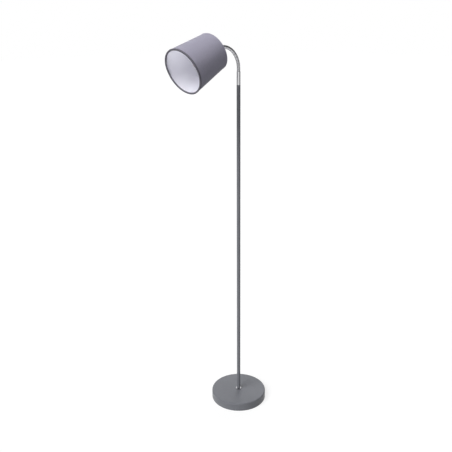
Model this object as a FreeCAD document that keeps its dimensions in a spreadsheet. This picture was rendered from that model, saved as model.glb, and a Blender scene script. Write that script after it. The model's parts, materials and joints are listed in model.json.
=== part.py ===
import FreeCAD, Part
import os
import Sketcher

# Gooseneck reading floor lamp, in millimetres and degrees.
# Frame: +Z is up, and the origin is on the floor under the pole. The neck leans towards -X,
# so the neck and the shade's axis lie in the XZ plane, and the cord's inlet faces +X.

SIZES = {
    # Base, from the floor up
    "base_diameter": 240,
    "base_height": 36,
    "base_edge_round": 5,
    "cover_wall": 1.2,
    "lip_width": 4,
    "pad_thickness": 2.2,
    "plate_thickness": 1.5,
    "plate_hole_diameter": 36,
    "nut_recess_diameter": 34,
    "nut_recess_depth": 11,
    # Cord inlet in the back of the base
    "cord_diameter": 6,
    "cord_channel_width": 17,
    "cord_channel_height": 17,
    "grommet_height": 12,
    "grommet_neck_diameter": 10,
    "grommet_flange_diameter": 14,
    "grommet_flange_thickness": 1.6,
    # Stud, washers and nut that clamp the base to the pole
    "stud_diameter": 10,
    "stud_bore": 7.2,
    "stud_drop": 9,
    "stud_rise": 26,
    "washer_diameter": 28,
    "washer_thickness": 1.5,
    "lock_washer_diameter": 16,
    "lock_washer_thickness": 1.2,
    "lock_washer_slit": 1.5,
    "nut_width": 14,
    "nut_thickness": 4,
    # Foot collar and pole
    "collar_diameter": 25,
    "collar_height": 3,
    "collar_edge_round": 1,
    "pole_diameter": 15,
    "pole_wall": 1,
    "pole_section_length": 449,
    "pole_edge_round": 0.4,
    "foot_insert_length": 32,
    "joint_plug_length": 60,
    "joint_plug_bore": 8,
    # Plug in the pole's top and the ferrule that turns on it
    "top_plug_depth": 25,
    "top_plug_rise": 30,
    "top_plug_diameter": 10.5,
    "ferrule_diameter": 14.8,
    "ferrule_height": 50,
    "ferrule_edge_round": 0.8,
    "set_screw_diameter": 3,
    "set_screw_height": 12,
    "set_screw_groove_depth": 0.8,
    # Flexible neck: each length between two pivots carries the same ribs
    "neck_diameter": 13.5,
    "neck_root_diameter": 11.8,
    "neck_bore": 6,
    "neck_foot_length": 17.4,
    "neck_sleeve_length": 10,
    "link_length": 13.4,
    "link_bend": 9.5,
    "link_bend_limit": 14,
    "rib_crest_width": 1.1,
    "rib_flank_width": 0.35,
    "ball_diameter": 9.4,
    # End fitting and lampholder, along the shade's axis
    "bush_diameter": 16,
    "bush_length": 10.6,
    "bush_spigot_length": 4,
    "bush_edge_round": 1,
    "holder_cap_length": 16,
    "holder_cap_wall": 1.8,
    "holder_floor": 3,
    "holder_shoulder_diameter": 38,
    "holder_shoulder_thickness": 2,
    "holder_diameter": 28,
    "holder_length": 30,
    "holder_tail_length": 10,
    "holder_core_length": 13,
    "screw_shell_length": 20,
    "screw_shell_wall": 0.5,
    "contact_width": 4,
    "contact_thickness": 0.5,
    "terminal_recess": 3,
    "terminal_screw_diameter": 3,
    "terminal_screw_length": 4,
    # Shade
    "shade_length": 158,
    "shade_opening_diameter": 171,
    "shade_narrow_diameter": 139,
    "shade_setback": 13.5,
    "fabric_thickness": 0.8,
    "lining_thickness": 0.6,
    "hem_width": 5,
    "hem_thickness": 0.6,
    "ring_wire": 3,
    "arm_wire": 2.5,
    "fitter_width": 6.5,
    "fitter_thickness": 1.5,
    "clamp_ring_width": 5.5,
    "clamp_ring_length": 8,
    # Bulb
    "bulb_diameter": 45,
    "bulb_reach": 57,
    "bulb_cap_diameter": 13.8,
    "bulb_cap_length": 17,
    "bulb_cap_floor": 1.2,
    "bulb_contact_diameter": 6,
    "bulb_neck_diameter": 16,
    "bulb_skirt_depth": 12.5,
    "bulb_globe_wall": 1.2,
    # Gaps between parts
    "laid_gap": 0.3,
    "press_gap": 0.02,
    "running_gap": 0.06,
    "swivel_gap": 0.2,
    "bend_gap": 0.05,
    "layer_gap": 0.1,
}
POLE_SECTIONS = ["pole_lower", "pole_middle", "pole_upper"]
LINKS_BETWEEN_ENDS = 11
RIBS_PER_LINK = 6
SPIDER_ARMS = 3

doc = FreeCAD.newDocument("floor_lamp")
sheet = doc.addObject("Spreadsheet::Sheet", "Size")
for row, (alias, value) in enumerate(SIZES.items(), start=1):
    sheet.set(f"A{row}", alias)
    sheet.set(f"B{row}", str(value))
    sheet.setAlias(f"B{row}", alias)
doc.recompute()

sub_parts = []


def value_of(expression):
    """The number that an expression on the sheet comes to."""
    return float(sheet.evalExpression(expression))


def finish(piece, label, placement=None):
    """Name a finished sub-part, place it, and keep it for the export."""
    piece.Label = label
    if placement:
        piece.setExpression("Placement", placement)
    sub_parts.append(piece)
    return piece


def moved(x="0", y="0", z="0"):
    """A placement expression that only shifts."""
    return f"create(<<placement>>; create(<<vector>>; {x}; {y}; {z}); create(<<rotation>>; 0; 0; 0))"


def turned(name, outline):
    """A body turned round the Z axis from an outline of (radius, height) expressions."""
    body = doc.addObject("PartDesign::Body", name)
    sketch = body.newObject("Sketcher::SketchObject", name + "_outline")
    plane = next(item for item in body.Origin.OriginFeatures if item.Role == "XZ_Plane")
    sketch.AttachmentSupport = [(plane, "")]
    sketch.MapMode = "FlatFace"
    corners = [FreeCAD.Vector(value_of(radius), value_of(height), 0) for radius, height in outline]
    for index, corner in enumerate(corners):
        following = corners[(index + 1) % len(corners)]
        sketch.addGeometry(Part.LineSegment(corner, following), False)
    for index, (radius, height) in enumerate(outline):
        after = (index + 1) % len(outline)
        sketch.addConstraint(Sketcher.Constraint("Coincident", index, 2, after, 1))
    for index, (radius, height) in enumerate(outline):
        across = Sketcher.Constraint("DistanceX", -1, 1, index, 1, corners[index].x)
        upward = Sketcher.Constraint("DistanceY", -1, 1, index, 1, corners[index].y)
        across_number = sketch.addConstraint(across)
        upward_number = sketch.addConstraint(upward)
        sketch.setExpression(f"Constraints[{across_number}]", radius)
        sketch.setExpression(f"Constraints[{upward_number}]", height)
    revolution = body.newObject("PartDesign::Revolution", name + "_turned")
    revolution.Profile = sketch
    revolution.ReferenceAxis = (sketch, ["V_Axis"])
    revolution.Angle = 360
    doc.recompute()
    return body


def tube(name, outer, inner, bottom, top):
    """A straight tube or ring: radii and heights are expressions."""
    return turned(name, [(outer, bottom), (outer, top), (inner, top), (inner, bottom)])


def round_edges(body, radius, rims):
    """Fillet the circular edges of a turned body that lie at the given (radius, height) places."""
    base = body.Tip
    names = []
    for rim_radius, rim_height in rims:
        for number, edge in enumerate(base.Shape.Edges, start=1):
            circle = edge.Curve
            if circle.TypeId != "Part::GeomCircle":
                continue
            same_radius = abs(circle.Radius - value_of(rim_radius)) < 1e-4
            same_height = abs(circle.Center.z - value_of(rim_height)) < 1e-4
            if same_radius and same_height:
                names.append(f"Edge{number}")
    fillet = body.newObject("PartDesign::Fillet", body.Name + "_rounding")
    fillet.Base = (base, names)
    fillet.setExpression("Radius", radius)
    body.Tip = fillet
    doc.recompute()


def cylinder(name, radius, length, placement=None):
    """A Part cylinder whose sizes are expressions."""
    rod = doc.addObject("Part::Cylinder", name)
    rod.setExpression("Radius", radius)
    rod.setExpression("Height", length)
    if placement:
        rod.setExpression("Placement", placement)
    return rod


def cut(name, base, *tools):
    """The base with the tools taken away, one after the other."""
    result = base
    for number, tool in enumerate(tools, start=1):
        step = doc.addObject("Part::Cut", f"{name}_cut_{number}")
        step.Base = result
        step.Tool = tool
        result = step
    return result


# Base ---------------------------------------------------------------------------------------

BASE_RADIUS = "(Size.base_diameter / 2)"
BASE_INSIDE = f"({BASE_RADIUS} - Size.cover_wall)"
LIP_INSIDE = f"({BASE_INSIDE} - Size.lip_width)"
LIP_BOTTOM = "(Size.pad_thickness - Size.cover_wall)"
PLATE_TOP = "(Size.pad_thickness + Size.plate_thickness)"
COVER_UNDERSIDE = "(Size.base_height - Size.cover_wall)"
STUD_RADIUS = "(Size.stud_diameter / 2)"
STUD_HOLE = f"({STUD_RADIUS} + Size.laid_gap)"
RECESS_TOP = f"({PLATE_TOP} + Size.nut_recess_depth)"


def make_base_cover():
    """Drawn steel cover: flat top, rounded edge, straight skirt and a lip rolled in under the plate."""
    shell = turned("base_cover_shell", [
        (BASE_RADIUS, LIP_BOTTOM),
        (BASE_RADIUS, "Size.base_height"),
        (STUD_HOLE, "Size.base_height"),
        (STUD_HOLE, COVER_UNDERSIDE),
        (BASE_INSIDE, COVER_UNDERSIDE),
        (BASE_INSIDE, "Size.pad_thickness"),
        (LIP_INSIDE, "Size.pad_thickness"),
        (LIP_INSIDE, LIP_BOTTOM),
    ])
    round_edges(shell, "Size.base_edge_round", [(BASE_RADIUS, "Size.base_height")])
    inner_round = "Size.base_edge_round - Size.cover_wall"
    round_edges(shell, inner_round, [(BASE_INSIDE, COVER_UNDERSIDE)])
    inlet = cylinder("base_cover_inlet", "Size.grommet_neck_diameter / 2 + Size.press_gap",
                     BASE_RADIUS, along_x("Size.base_diameter / 4", "Size.grommet_height"))
    finish(cut("base_cover", shell, inlet), "base_cover")


def along_x(x, z):
    """A placement that lays a cylinder along +X, starting at x."""
    return f"create(<<placement>>; create(<<vector>>; {x}; 0; {z}); create(<<rotation>>; 0; 90; 0))"


def make_base_weight():
    """Cast disc under the cover, with a recess for the nut and a channel for the cord."""
    weight_radius = f"({BASE_INSIDE} - Size.laid_gap)"
    disc = turned("base_weight_disc", [
        ("Size.nut_recess_diameter / 2", PLATE_TOP),
        (weight_radius, PLATE_TOP),
        (weight_radius, COVER_UNDERSIDE),
        (STUD_HOLE, COVER_UNDERSIDE),
        (STUD_HOLE, RECESS_TOP),
        ("Size.nut_recess_diameter / 2", RECESS_TOP),
    ])
    round_edges(disc, "Size.base_edge_round", [(weight_radius, COVER_UNDERSIDE)])
    channel = doc.addObject("Part::Box", "base_weight_channel")
    channel.setExpression("Length", BASE_RADIUS)
    channel.setExpression("Width", "Size.cord_channel_width")
    channel.setExpression("Height", "Size.cord_channel_height")
    channel.setExpression("Placement", moved("0", "-Size.cord_channel_width / 2", PLATE_TOP))
    finish(cut("base_weight", disc, channel), "base_weight")


def make_base_underside():
    """Steel plate held by the cover's lip, and the foam rubber pad glued under it."""
    plate_radius = f"({BASE_INSIDE} - Size.laid_gap)"
    plate = tube("base_plate", plate_radius, "Size.plate_hole_diameter / 2",
                 "Size.pad_thickness", PLATE_TOP)
    finish(plate, "base_plate")
    pad = cylinder("base_pad", f"{LIP_INSIDE} - Size.laid_gap", "Size.pad_thickness")
    finish(pad, "base_pad")


def make_cord_grommet():
    """Rubber bush for the cord, turned upright and laid along +X through the cover's wall."""
    neck = "Size.grommet_neck_diameter / 2"
    flange = "Size.grommet_flange_diameter / 2"
    bore = "Size.cord_diameter / 2"
    inner_end = "-Size.cover_wall - 2 * Size.laid_gap - Size.grommet_flange_thickness"
    grommet = turned("cord_grommet", [
        (bore, inner_end),
        (flange, inner_end),
        (flange, "-Size.cover_wall - 2 * Size.laid_gap"),
        (neck, "-Size.cover_wall - 2 * Size.laid_gap"),
        (neck, "0"),
        (flange, "0"),
        (flange, "Size.grommet_flange_thickness"),
        (bore, "Size.grommet_flange_thickness"),
    ])
    finish(grommet, "cord_grommet", along_x(BASE_RADIUS, "Size.grommet_height"))


def make_base_fasteners():
    """Threaded stud with washer, split lock washer and nut, all in the weight's recess."""
    washer_bottom = f"({RECESS_TOP} - Size.washer_thickness)"
    lock_bottom = f"({washer_bottom} - Size.lock_washer_thickness)"
    nut_bottom = f"({lock_bottom} - Size.nut_thickness)"
    stud = tube("base_stud", STUD_RADIUS, "Size.stud_bore / 2",
                f"{RECESS_TOP} - Size.stud_drop", "Size.base_height + Size.stud_rise")
    finish(stud, "base_stud")
    fastener_hole = f"({STUD_RADIUS} + Size.press_gap)"
    washer = tube("base_washer", "Size.washer_diameter / 2", fastener_hole,
                  washer_bottom, RECESS_TOP)
    finish(washer, "base_washer")
    lock_ring = tube("base_lock_washer_ring", "Size.lock_washer_diameter / 2", fastener_hole,
                     lock_bottom, washer_bottom)
    slit = doc.addObject("Part::Box", "base_lock_washer_slit")
    slit.setExpression("Length", "Size.lock_washer_diameter")
    slit.setExpression("Width", "Size.lock_washer_slit")
    slit.setExpression("Height", "Size.lock_washer_thickness")
    slit.setExpression("Placement", moved("0", "-Size.lock_washer_slit / 2", lock_bottom))
    finish(cut("base_lock_washer", lock_ring, slit), "base_lock_washer")
    hexagon = doc.addObject("Part::Prism", "base_nut_hexagon")
    hexagon.Polygon = 6
    hexagon.setExpression("Circumradius", "Size.nut_width / 2 / cos(30)")
    hexagon.setExpression("Height", "Size.nut_thickness")
    hexagon.setExpression("Placement", moved(z=nut_bottom))
    bore = cylinder("base_nut_bore", fastener_hole, "Size.nut_thickness", moved(z=nut_bottom))
    finish(cut("base_nut", hexagon, bore), "base_nut")


# Pole ---------------------------------------------------------------------------------------

COLLAR_TOP = "(Size.base_height + Size.collar_height)"
POLE_RADIUS = "(Size.pole_diameter / 2)"
POLE_INSIDE = f"({POLE_RADIUS} - Size.pole_wall)"
PLUG_RADIUS = f"({POLE_INSIDE} - Size.press_gap)"
POLE_TOP = f"({COLLAR_TOP} + {len(POLE_SECTIONS)} * Size.pole_section_length)"


def section_bottom(number):
    """Height of the lower end of a pole section, counted from 0."""
    return f"({COLLAR_TOP} + {number} * Size.pole_section_length)"


def make_foot_collar():
    collar = tube("foot_collar", "Size.collar_diameter / 2", STUD_HOLE,
                  "Size.base_height", COLLAR_TOP)
    round_edges(collar, "Size.collar_edge_round", [("Size.collar_diameter / 2", COLLAR_TOP)])
    finish(collar, "foot_collar")


def make_pole():
    """Three painted tubes, the insert that takes the stud, and the plugs inside their joints."""
    for number, label in enumerate(POLE_SECTIONS):
        bottom = section_bottom(number)
        top = section_bottom(number + 1)
        section = tube(label, POLE_RADIUS, POLE_INSIDE, bottom, top)
        round_edges(section, "Size.pole_edge_round", [(POLE_RADIUS, bottom), (POLE_RADIUS, top)])
        finish(section, label)
    insert = tube("pole_foot_insert", PLUG_RADIUS, f"{STUD_RADIUS} + Size.press_gap",
                  COLLAR_TOP, f"{COLLAR_TOP} + Size.foot_insert_length")
    finish(insert, "pole_foot_insert")
    for number, label in enumerate(["pole_joint_lower", "pole_joint_upper"], start=1):
        middle = section_bottom(number)
        plug = tube(label, PLUG_RADIUS, "Size.joint_plug_bore / 2",
                    f"{middle} - Size.joint_plug_length / 2",
                    f"{middle} + Size.joint_plug_length / 2")
        finish(plug, label)


def make_pole_top_plug():
    """Plug pressed into the pole; the ferrule turns on its thinner end and is kept by a groove."""
    groove_bottom = f"({POLE_TOP} + Size.set_screw_height - Size.set_screw_diameter / 2"
    groove_bottom += " - Size.laid_gap)"
    groove_top = f"({groove_bottom} + Size.set_screw_diameter + 2 * Size.laid_gap)"
    pin = "(Size.top_plug_diameter / 2)"
    groove = f"({pin} - Size.set_screw_groove_depth)"
    bore = "Size.stud_bore / 2"
    plug = turned("pole_top_plug", [
        (bore, f"{POLE_TOP} - Size.top_plug_depth"),
        (PLUG_RADIUS, f"{POLE_TOP} - Size.top_plug_depth"),
        (PLUG_RADIUS, POLE_TOP),
        (pin, POLE_TOP),
        (pin, groove_bottom),
        (groove, groove_bottom),
        (groove, groove_top),
        (pin, groove_top),
        (pin, f"{POLE_TOP} + Size.top_plug_rise"),
        (bore, f"{POLE_TOP} + Size.top_plug_rise"),
    ])
    finish(plug, "pole_top_plug")


# Ferrule and flexible neck ------------------------------------------------------------------

FERRULE_BOTTOM = f"({POLE_TOP} + Size.swivel_gap)"
FERRULE_TOP = f"({FERRULE_BOTTOM} + Size.ferrule_height)"
FERRULE_BORE = "(Size.top_plug_diameter / 2 + Size.running_gap)"
LINK_STEP = moved(z="Size.link_length")
LINK_TURN = "create(<<placement>>; create(<<vector>>; 0; 0; 0); "
LINK_TURN += "create(<<rotation>>; create(<<vector>>; 0; -1; 0); Size.link_bend))"


def make_ferrule():
    """Bright sleeve, with the grub screw that rides in the plug's groove."""
    sleeve = tube("neck_ferrule_sleeve", "Size.ferrule_diameter / 2", FERRULE_BORE,
                  FERRULE_BOTTOM, FERRULE_TOP)
    round_edges(sleeve, "Size.ferrule_edge_round", [("Size.ferrule_diameter / 2", FERRULE_TOP)])
    screw_height = f"{POLE_TOP} + Size.set_screw_height"
    screw_start = "(Size.top_plug_diameter / 2 - Size.set_screw_groove_depth + Size.laid_gap)"
    hole = cylinder("neck_ferrule_hole", "Size.set_screw_diameter / 2 + Size.press_gap",
                    "Size.ferrule_diameter / 2", along_x("Size.top_plug_diameter / 4", screw_height))
    finish(cut("neck_ferrule", sleeve, hole), "neck_ferrule")
    screw = cylinder("ferrule_set_screw", "Size.set_screw_diameter / 2",
                     f"Size.ferrule_diameter / 2 - {screw_start} - Size.laid_gap",
                     along_x(screw_start, screw_height))
    finish(screw, "ferrule_set_screw")


def ring(radius, height):
    """A circle round the Z axis as a wire, its seam on the X axis."""
    centre = FreeCAD.Vector(0, 0, height)
    return Part.Wire([Part.Circle(centre, FreeCAD.Vector(0, 0, 1), radius).toShape()])


def rib_radius(from_end):
    """Outside radius of the ribbed neck at a distance from the end of a stiff length."""
    root = value_of("Size.neck_root_diameter / 2")
    crest = value_of("Size.neck_diameter / 2")
    pitch = value_of("Size.link_length") / RIBS_PER_LINK
    flank = value_of("Size.rib_flank_width")
    from_middle = abs(from_end % pitch - pitch / 2)
    beyond_crest = from_middle - value_of("Size.rib_crest_width / 2")
    share = min(max(beyond_crest / flank, 0), 1)
    return crest + (root - crest) * share


def ribbed_tube(length, bottom, top):
    """Ribbed outside of a stiff length of the neck, from bottom to top, its ribs counted from length."""
    pitch = value_of("Size.link_length") / RIBS_PER_LINK
    crest_half = value_of("Size.rib_crest_width / 2")
    foot_half = crest_half + value_of("Size.rib_flank_width")
    heights = []
    for number in range(int(length / pitch) + 1):
        middle = length - (number + 0.5) * pitch
        heights += [middle - foot_half, middle - crest_half, middle + crest_half, middle + foot_half]
    inner = [height for height in sorted(heights) if bottom < height < top]
    rings = [ring(rib_radius(length - height), height) for height in [bottom, *inner, top]]
    return Part.makeLoft(rings, True, True)


def neck_shape(length, ball, socket, sleeve_below, sleeve_above):
    """One stiff length of the neck: a ribbed tube with a hollow ball below and a socket above."""
    setback = value_of("Size.neck_diameter / 2 * tan(Size.link_bend_limit / 2) + Size.bend_gap")
    bore = value_of("Size.neck_bore / 2")
    ball_radius = value_of("Size.ball_diameter / 2")
    socket_radius = ball_radius + value_of("Size.laid_gap")
    sleeve = value_of(f"{FERRULE_BORE} - Size.press_gap")
    bottom = setback if ball else 0
    top = length - setback if socket else length
    shape = ribbed_tube(length, bottom, top)
    if ball:
        shape = shape.fuse(Part.makeSphere(ball_radius))
    if sleeve_below:
        shape = shape.fuse(Part.makeCylinder(sleeve, sleeve_below, FreeCAD.Vector(0, 0, -sleeve_below)))
    if sleeve_above:
        shape = shape.fuse(Part.makeCylinder(sleeve, sleeve_above, FreeCAD.Vector(0, 0, length)))
    low_end = -sleeve_below - ball_radius
    whole = length + sleeve_above - 2 * low_end
    shape = shape.cut(Part.makeCylinder(bore, whole, FreeCAD.Vector(0, 0, low_end)))
    if socket:
        shape = shape.cut(Part.makeSphere(socket_radius, FreeCAD.Vector(0, 0, length)))
    return shape.removeSplitter()


def neck_piece(label, shape, placement):
    piece = doc.addObject("Part::Feature", label)
    piece.Shape = shape
    finish(piece, label, placement)


def make_neck():
    """The neck, as stiff lengths that turn on each other at evenly spaced pivots."""
    link_length = value_of("Size.link_length")
    foot_length = value_of("Size.neck_foot_length")
    sleeve_length = value_of("Size.neck_sleeve_length")
    bush_sleeve = value_of("Size.bush_length / 2")
    foot = neck_shape(foot_length, False, True, sleeve_length, 0)
    neck_piece("neck_foot", foot, moved(z=FERRULE_TOP))
    link = neck_shape(link_length, True, True, 0, 0)
    pivot = f"neck_foot.Placement * {moved(z='Size.neck_foot_length')}"
    for number in range(1, LINKS_BETWEEN_ENDS + 1):
        label = f"neck_link_{number:02d}"
        neck_piece(label, link.copy(), f"{pivot} * {LINK_TURN}")
        pivot = f"{label}.Placement * {LINK_STEP}"
    tip = neck_shape(link_length, True, False, 0, bush_sleeve)
    neck_piece("neck_tip", tip, f"{pivot} * {LINK_TURN}")


# Lampholder ---------------------------------------------------------------------------------
# Everything on the head has its heights along the shade's axis, from the neck's last pivot.

ON_HEAD = "neck_tip.Placement"
BUSH_END = "(Size.link_length + Size.bush_length)"
SHOULDER_FACE = f"({BUSH_END} + Size.holder_cap_length)"
MOUTH = f"({SHOULDER_FACE} + Size.holder_length)"
HOLDER_RADIUS = "(Size.holder_diameter / 2)"
TAIL_RADIUS = f"({HOLDER_RADIUS} - Size.holder_cap_wall - Size.press_gap)"
SHELL_INSIDE = "(Size.bulb_cap_diameter / 2 + Size.laid_gap)"
SHELL_OUTSIDE = f"({SHELL_INSIDE} + Size.screw_shell_wall)"
CORE_BOTTOM = f"({SHOULDER_FACE} - Size.holder_tail_length + Size.terminal_recess)"
CORE_TOP = f"({CORE_BOTTOM} + Size.holder_core_length)"


def make_neck_end_bush():
    """Turned end fitting: a socket over the neck's sleeve, and a spigot into the lampholder."""
    socket = f"({FERRULE_BORE})"
    spigot = STUD_RADIUS
    socket_end = "(Size.link_length + Size.bush_length / 2 + Size.laid_gap)"
    bush = turned("neck_end_bush", [
        (socket, "Size.link_length"),
        ("Size.bush_diameter / 2", "Size.link_length"),
        ("Size.bush_diameter / 2", BUSH_END),
        (spigot, BUSH_END),
        (spigot, f"{BUSH_END} + Size.bush_spigot_length"),
        ("Size.neck_bore / 2", f"{BUSH_END} + Size.bush_spigot_length"),
        ("Size.neck_bore / 2", socket_end),
        (socket, socket_end),
    ])
    round_edges(bush, "Size.bush_edge_round", [("Size.bush_diameter / 2", BUSH_END)])
    finish(bush, "neck_end_bush", ON_HEAD)


def make_lampholder():
    """Moulded cap and threaded body, with the core, screw shell, contact and terminals inside."""
    cap_inside = f"({HOLDER_RADIUS} - Size.holder_cap_wall)"
    shoulder = "Size.holder_shoulder_diameter / 2"
    cap = turned("holder_cap", [
        (f"{STUD_RADIUS} + Size.press_gap", BUSH_END),
        (HOLDER_RADIUS, BUSH_END),
        (HOLDER_RADIUS, f"{SHOULDER_FACE} - Size.holder_shoulder_thickness"),
        (shoulder, f"{SHOULDER_FACE} - Size.holder_shoulder_thickness"),
        (shoulder, SHOULDER_FACE),
        (cap_inside, SHOULDER_FACE),
        (cap_inside, f"{BUSH_END} + Size.holder_floor"),
        (f"{STUD_RADIUS} + Size.press_gap", f"{BUSH_END} + Size.holder_floor"),
    ])
    round_edges(cap, "Size.holder_cap_wall", [(HOLDER_RADIUS, BUSH_END)])
    finish(cap, "holder_cap", ON_HEAD)
    body_bore = f"({SHELL_OUTSIDE} + Size.press_gap)"
    body = turned("holder_body", [
        (body_bore, f"{SHOULDER_FACE} - Size.holder_tail_length"),
        (TAIL_RADIUS, f"{SHOULDER_FACE} - Size.holder_tail_length"),
        (TAIL_RADIUS, SHOULDER_FACE),
        (HOLDER_RADIUS, SHOULDER_FACE),
        (HOLDER_RADIUS, MOUTH),
        (body_bore, MOUTH),
    ])
    finish(body, "holder_body", ON_HEAD)
    core = cylinder("holder_core", f"{SHELL_OUTSIDE}", "Size.holder_core_length")
    finish(core, "holder_core", f"{ON_HEAD} * {moved(z=CORE_BOTTOM)}")
    shell_top = f"({CORE_TOP} + Size.screw_shell_length)"
    shell = tube("holder_screw_shell", SHELL_OUTSIDE, SHELL_INSIDE, CORE_TOP, shell_top)
    finish(shell, "holder_screw_shell", ON_HEAD)
    contact = doc.addObject("Part::Box", "holder_contact")
    contact.setExpression("Length", "Size.bulb_cap_diameter / 2")
    contact.setExpression("Width", "Size.contact_width")
    contact.setExpression("Height", "Size.contact_thickness")
    contact_corner = moved("-Size.bulb_cap_diameter / 4", "-Size.contact_width / 2", CORE_TOP)
    finish(contact, "holder_contact", f"{ON_HEAD} * {contact_corner}")
    screws = doc.addObject("Part::Compound", "holder_terminal_screws")
    links = []
    for number, side in enumerate(("-", "+"), start=1):
        place = moved(y=f"{side}Size.bulb_cap_diameter / 4",
                      z=f"{CORE_BOTTOM} - Size.terminal_screw_length")
        links.append(cylinder(f"terminal_screw_{number}", "Size.terminal_screw_diameter / 2",
                              "Size.terminal_screw_length", place))
    screws.Links = links
    finish(screws, "holder_terminal_screws", ON_HEAD)


def make_bulb():
    """Small round lamp: screw cap, end contact, white skirt and opal globe."""
    cap_radius = "Size.bulb_cap_diameter / 2"
    contact_bottom = f"({CORE_TOP} + Size.contact_thickness)"
    cap_bottom = f"({MOUTH} - Size.bulb_cap_length)"
    contact = cylinder("bulb_contact", "Size.bulb_contact_diameter / 2",
                       f"{cap_bottom} - {contact_bottom}")
    finish(contact, "bulb_contact", f"{ON_HEAD} * {moved(z=contact_bottom)}")
    cap = turned("bulb_cap", [
        ("0", cap_bottom),
        (cap_radius, cap_bottom),
        (cap_radius, MOUTH),
        (f"{cap_radius} - Size.screw_shell_wall", MOUTH),
        (f"{cap_radius} - Size.screw_shell_wall", f"{cap_bottom} + Size.bulb_cap_floor"),
        ("0", f"{cap_bottom} + Size.bulb_cap_floor"),
    ])
    finish(cap, "bulb_cap", ON_HEAD)
    globe_radius = "(Size.bulb_diameter / 2)"
    globe_centre = f"({MOUTH} + Size.bulb_reach - {globe_radius})"
    skirt_top = f"({globe_centre} - Size.bulb_skirt_depth)"
    skirt_radius = f"sqrt({globe_radius}^2 - Size.bulb_skirt_depth^2)"
    skirt = turned("bulb_body", [
        ("0", MOUTH),
        ("Size.bulb_neck_diameter / 2", MOUTH),
        (skirt_radius, skirt_top),
        ("0", skirt_top),
    ])
    finish(skirt, "bulb_body", ON_HEAD)
    ball = doc.addObject("Part::Sphere", "bulb_globe_ball")
    ball.setExpression("Radius", globe_radius)
    ball.setExpression("Placement", moved(z=globe_centre))
    hollow = doc.addObject("Part::Sphere", "bulb_globe_hollow")
    hollow.setExpression("Radius", f"{globe_radius} - Size.bulb_globe_wall")
    hollow.setExpression("Placement", moved(z=globe_centre))
    waste = cylinder("bulb_globe_waste", globe_radius, f"{skirt_top} - {MOUTH}", moved(z=MOUTH))
    finish(cut("bulb_globe", ball, hollow, waste), "bulb_globe", ON_HEAD)


# Shade --------------------------------------------------------------------------------------

NARROW_END = f"({SHOULDER_FACE} - Size.shade_setback)"
WIDE_END = f"({NARROW_END} + Size.shade_length)"
FABRIC_INSIDE = "Size.fabric_thickness"
LINING_OUTSIDE = "(Size.fabric_thickness + Size.layer_gap)"
LINING_INSIDE = f"({LINING_OUTSIDE} + Size.lining_thickness)"
HEM_OUTSIDE = "(-Size.layer_gap - Size.hem_thickness)"


def shade_radius(height, inset):
    """Radius of the shade at a height on its axis, less an inset from the fabric's outside."""
    slope = "(Size.shade_opening_diameter - Size.shade_narrow_diameter) / 2 / Size.shade_length"
    return f"(Size.shade_narrow_diameter / 2 + ({height} - {NARROW_END}) * {slope} - {inset})"


def cone_skin(label, outside, inside, bottom, top):
    """A conical skin of the shade between two insets from the fabric's outside."""
    skin = turned(label, [
        (shade_radius(bottom, outside), bottom),
        (shade_radius(top, outside), top),
        (shade_radius(top, inside), top),
        (shade_radius(bottom, inside), bottom),
    ])
    finish(skin, label, ON_HEAD)


def make_hem(label, end, inward):
    """The folded edging that wraps a rim of both skins; inward is the sign from rim to middle."""
    wrap_inside = f"({LINING_INSIDE} + Size.layer_gap)"
    hem_inside = f"({wrap_inside} + Size.hem_thickness)"
    lap = f"({end} {inward} Size.hem_width)"
    inner_face = f"({end} {'-' if inward == '+' else '+'} Size.layer_gap)"
    outer_face = f"({end} {'-' if inward == '+' else '+'} (Size.layer_gap + Size.hem_thickness))"
    hem = turned(label, [
        (shade_radius(lap, HEM_OUTSIDE), lap),
        (shade_radius(end, HEM_OUTSIDE), outer_face),
        (shade_radius(end, hem_inside), outer_face),
        (shade_radius(lap, hem_inside), lap),
        (shade_radius(lap, wrap_inside), lap),
        (shade_radius(end, wrap_inside), inner_face),
        (shade_radius(end, "(-Size.layer_gap)"), inner_face),
        (shade_radius(lap, "(-Size.layer_gap)"), lap),
    ])
    finish(hem, label, ON_HEAD)


def ring_radius(height):
    """Radius to the middle of a wire ring that lies just inside the lining and its hem."""
    inset = f"({LINING_INSIDE} + Size.hem_thickness + 2 * Size.layer_gap + Size.ring_wire / 2)"
    return shade_radius(height, inset)


def wire_ring(name, height):
    wire = doc.addObject("Part::Torus", name)
    wire.setExpression("Radius1", ring_radius(height))
    wire.setExpression("Radius2", "Size.ring_wire / 2")
    return wire


def make_spider():
    """Wire ring at the narrow end, the fitter ring on the lampholder, and the arms between them."""
    ring_height = f"({NARROW_END} + Size.ring_wire / 2)"
    rim = wire_ring("spider_rim", ring_height)
    rim.setExpression("Placement", moved(z=ring_height))
    fitter_inside = f"({HOLDER_RADIUS} + Size.laid_gap)"
    fitter_outside = f"({fitter_inside} + Size.fitter_width)"
    fitter = tube("spider_fitter", fitter_outside, fitter_inside,
                  SHOULDER_FACE, f"{SHOULDER_FACE} + Size.fitter_thickness")
    arm_inner = f"({fitter_outside} - Size.arm_wire / 2)"
    arm_start = f"({SHOULDER_FACE} + Size.fitter_thickness / 2)"
    run = f"({ring_radius(ring_height)} - {arm_inner})"
    fall = f"({arm_start} - {ring_height})"
    pieces = [rim, fitter]
    for number in range(SPIDER_ARMS):
        turn = 360 / SPIDER_ARMS * number
        start = f"{arm_inner} * cos({turn}); {arm_inner} * sin({turn}); {arm_start}"
        lean = f"90 deg + atan({fall} / {run})"
        place = f"create(<<placement>>; create(<<vector>>; {start}); "
        place += f"create(<<rotation>>; {turn}; {lean}; 0))"
        length = f"sqrt({run}^2 + {fall}^2)"
        pieces.append(cylinder(f"spider_arm_{number + 1}", "Size.arm_wire / 2", length, place))
    spider = doc.addObject("Part::MultiFuse", "shade_spider")
    spider.Shapes = pieces
    finish(spider, "shade_spider", ON_HEAD)


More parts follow.
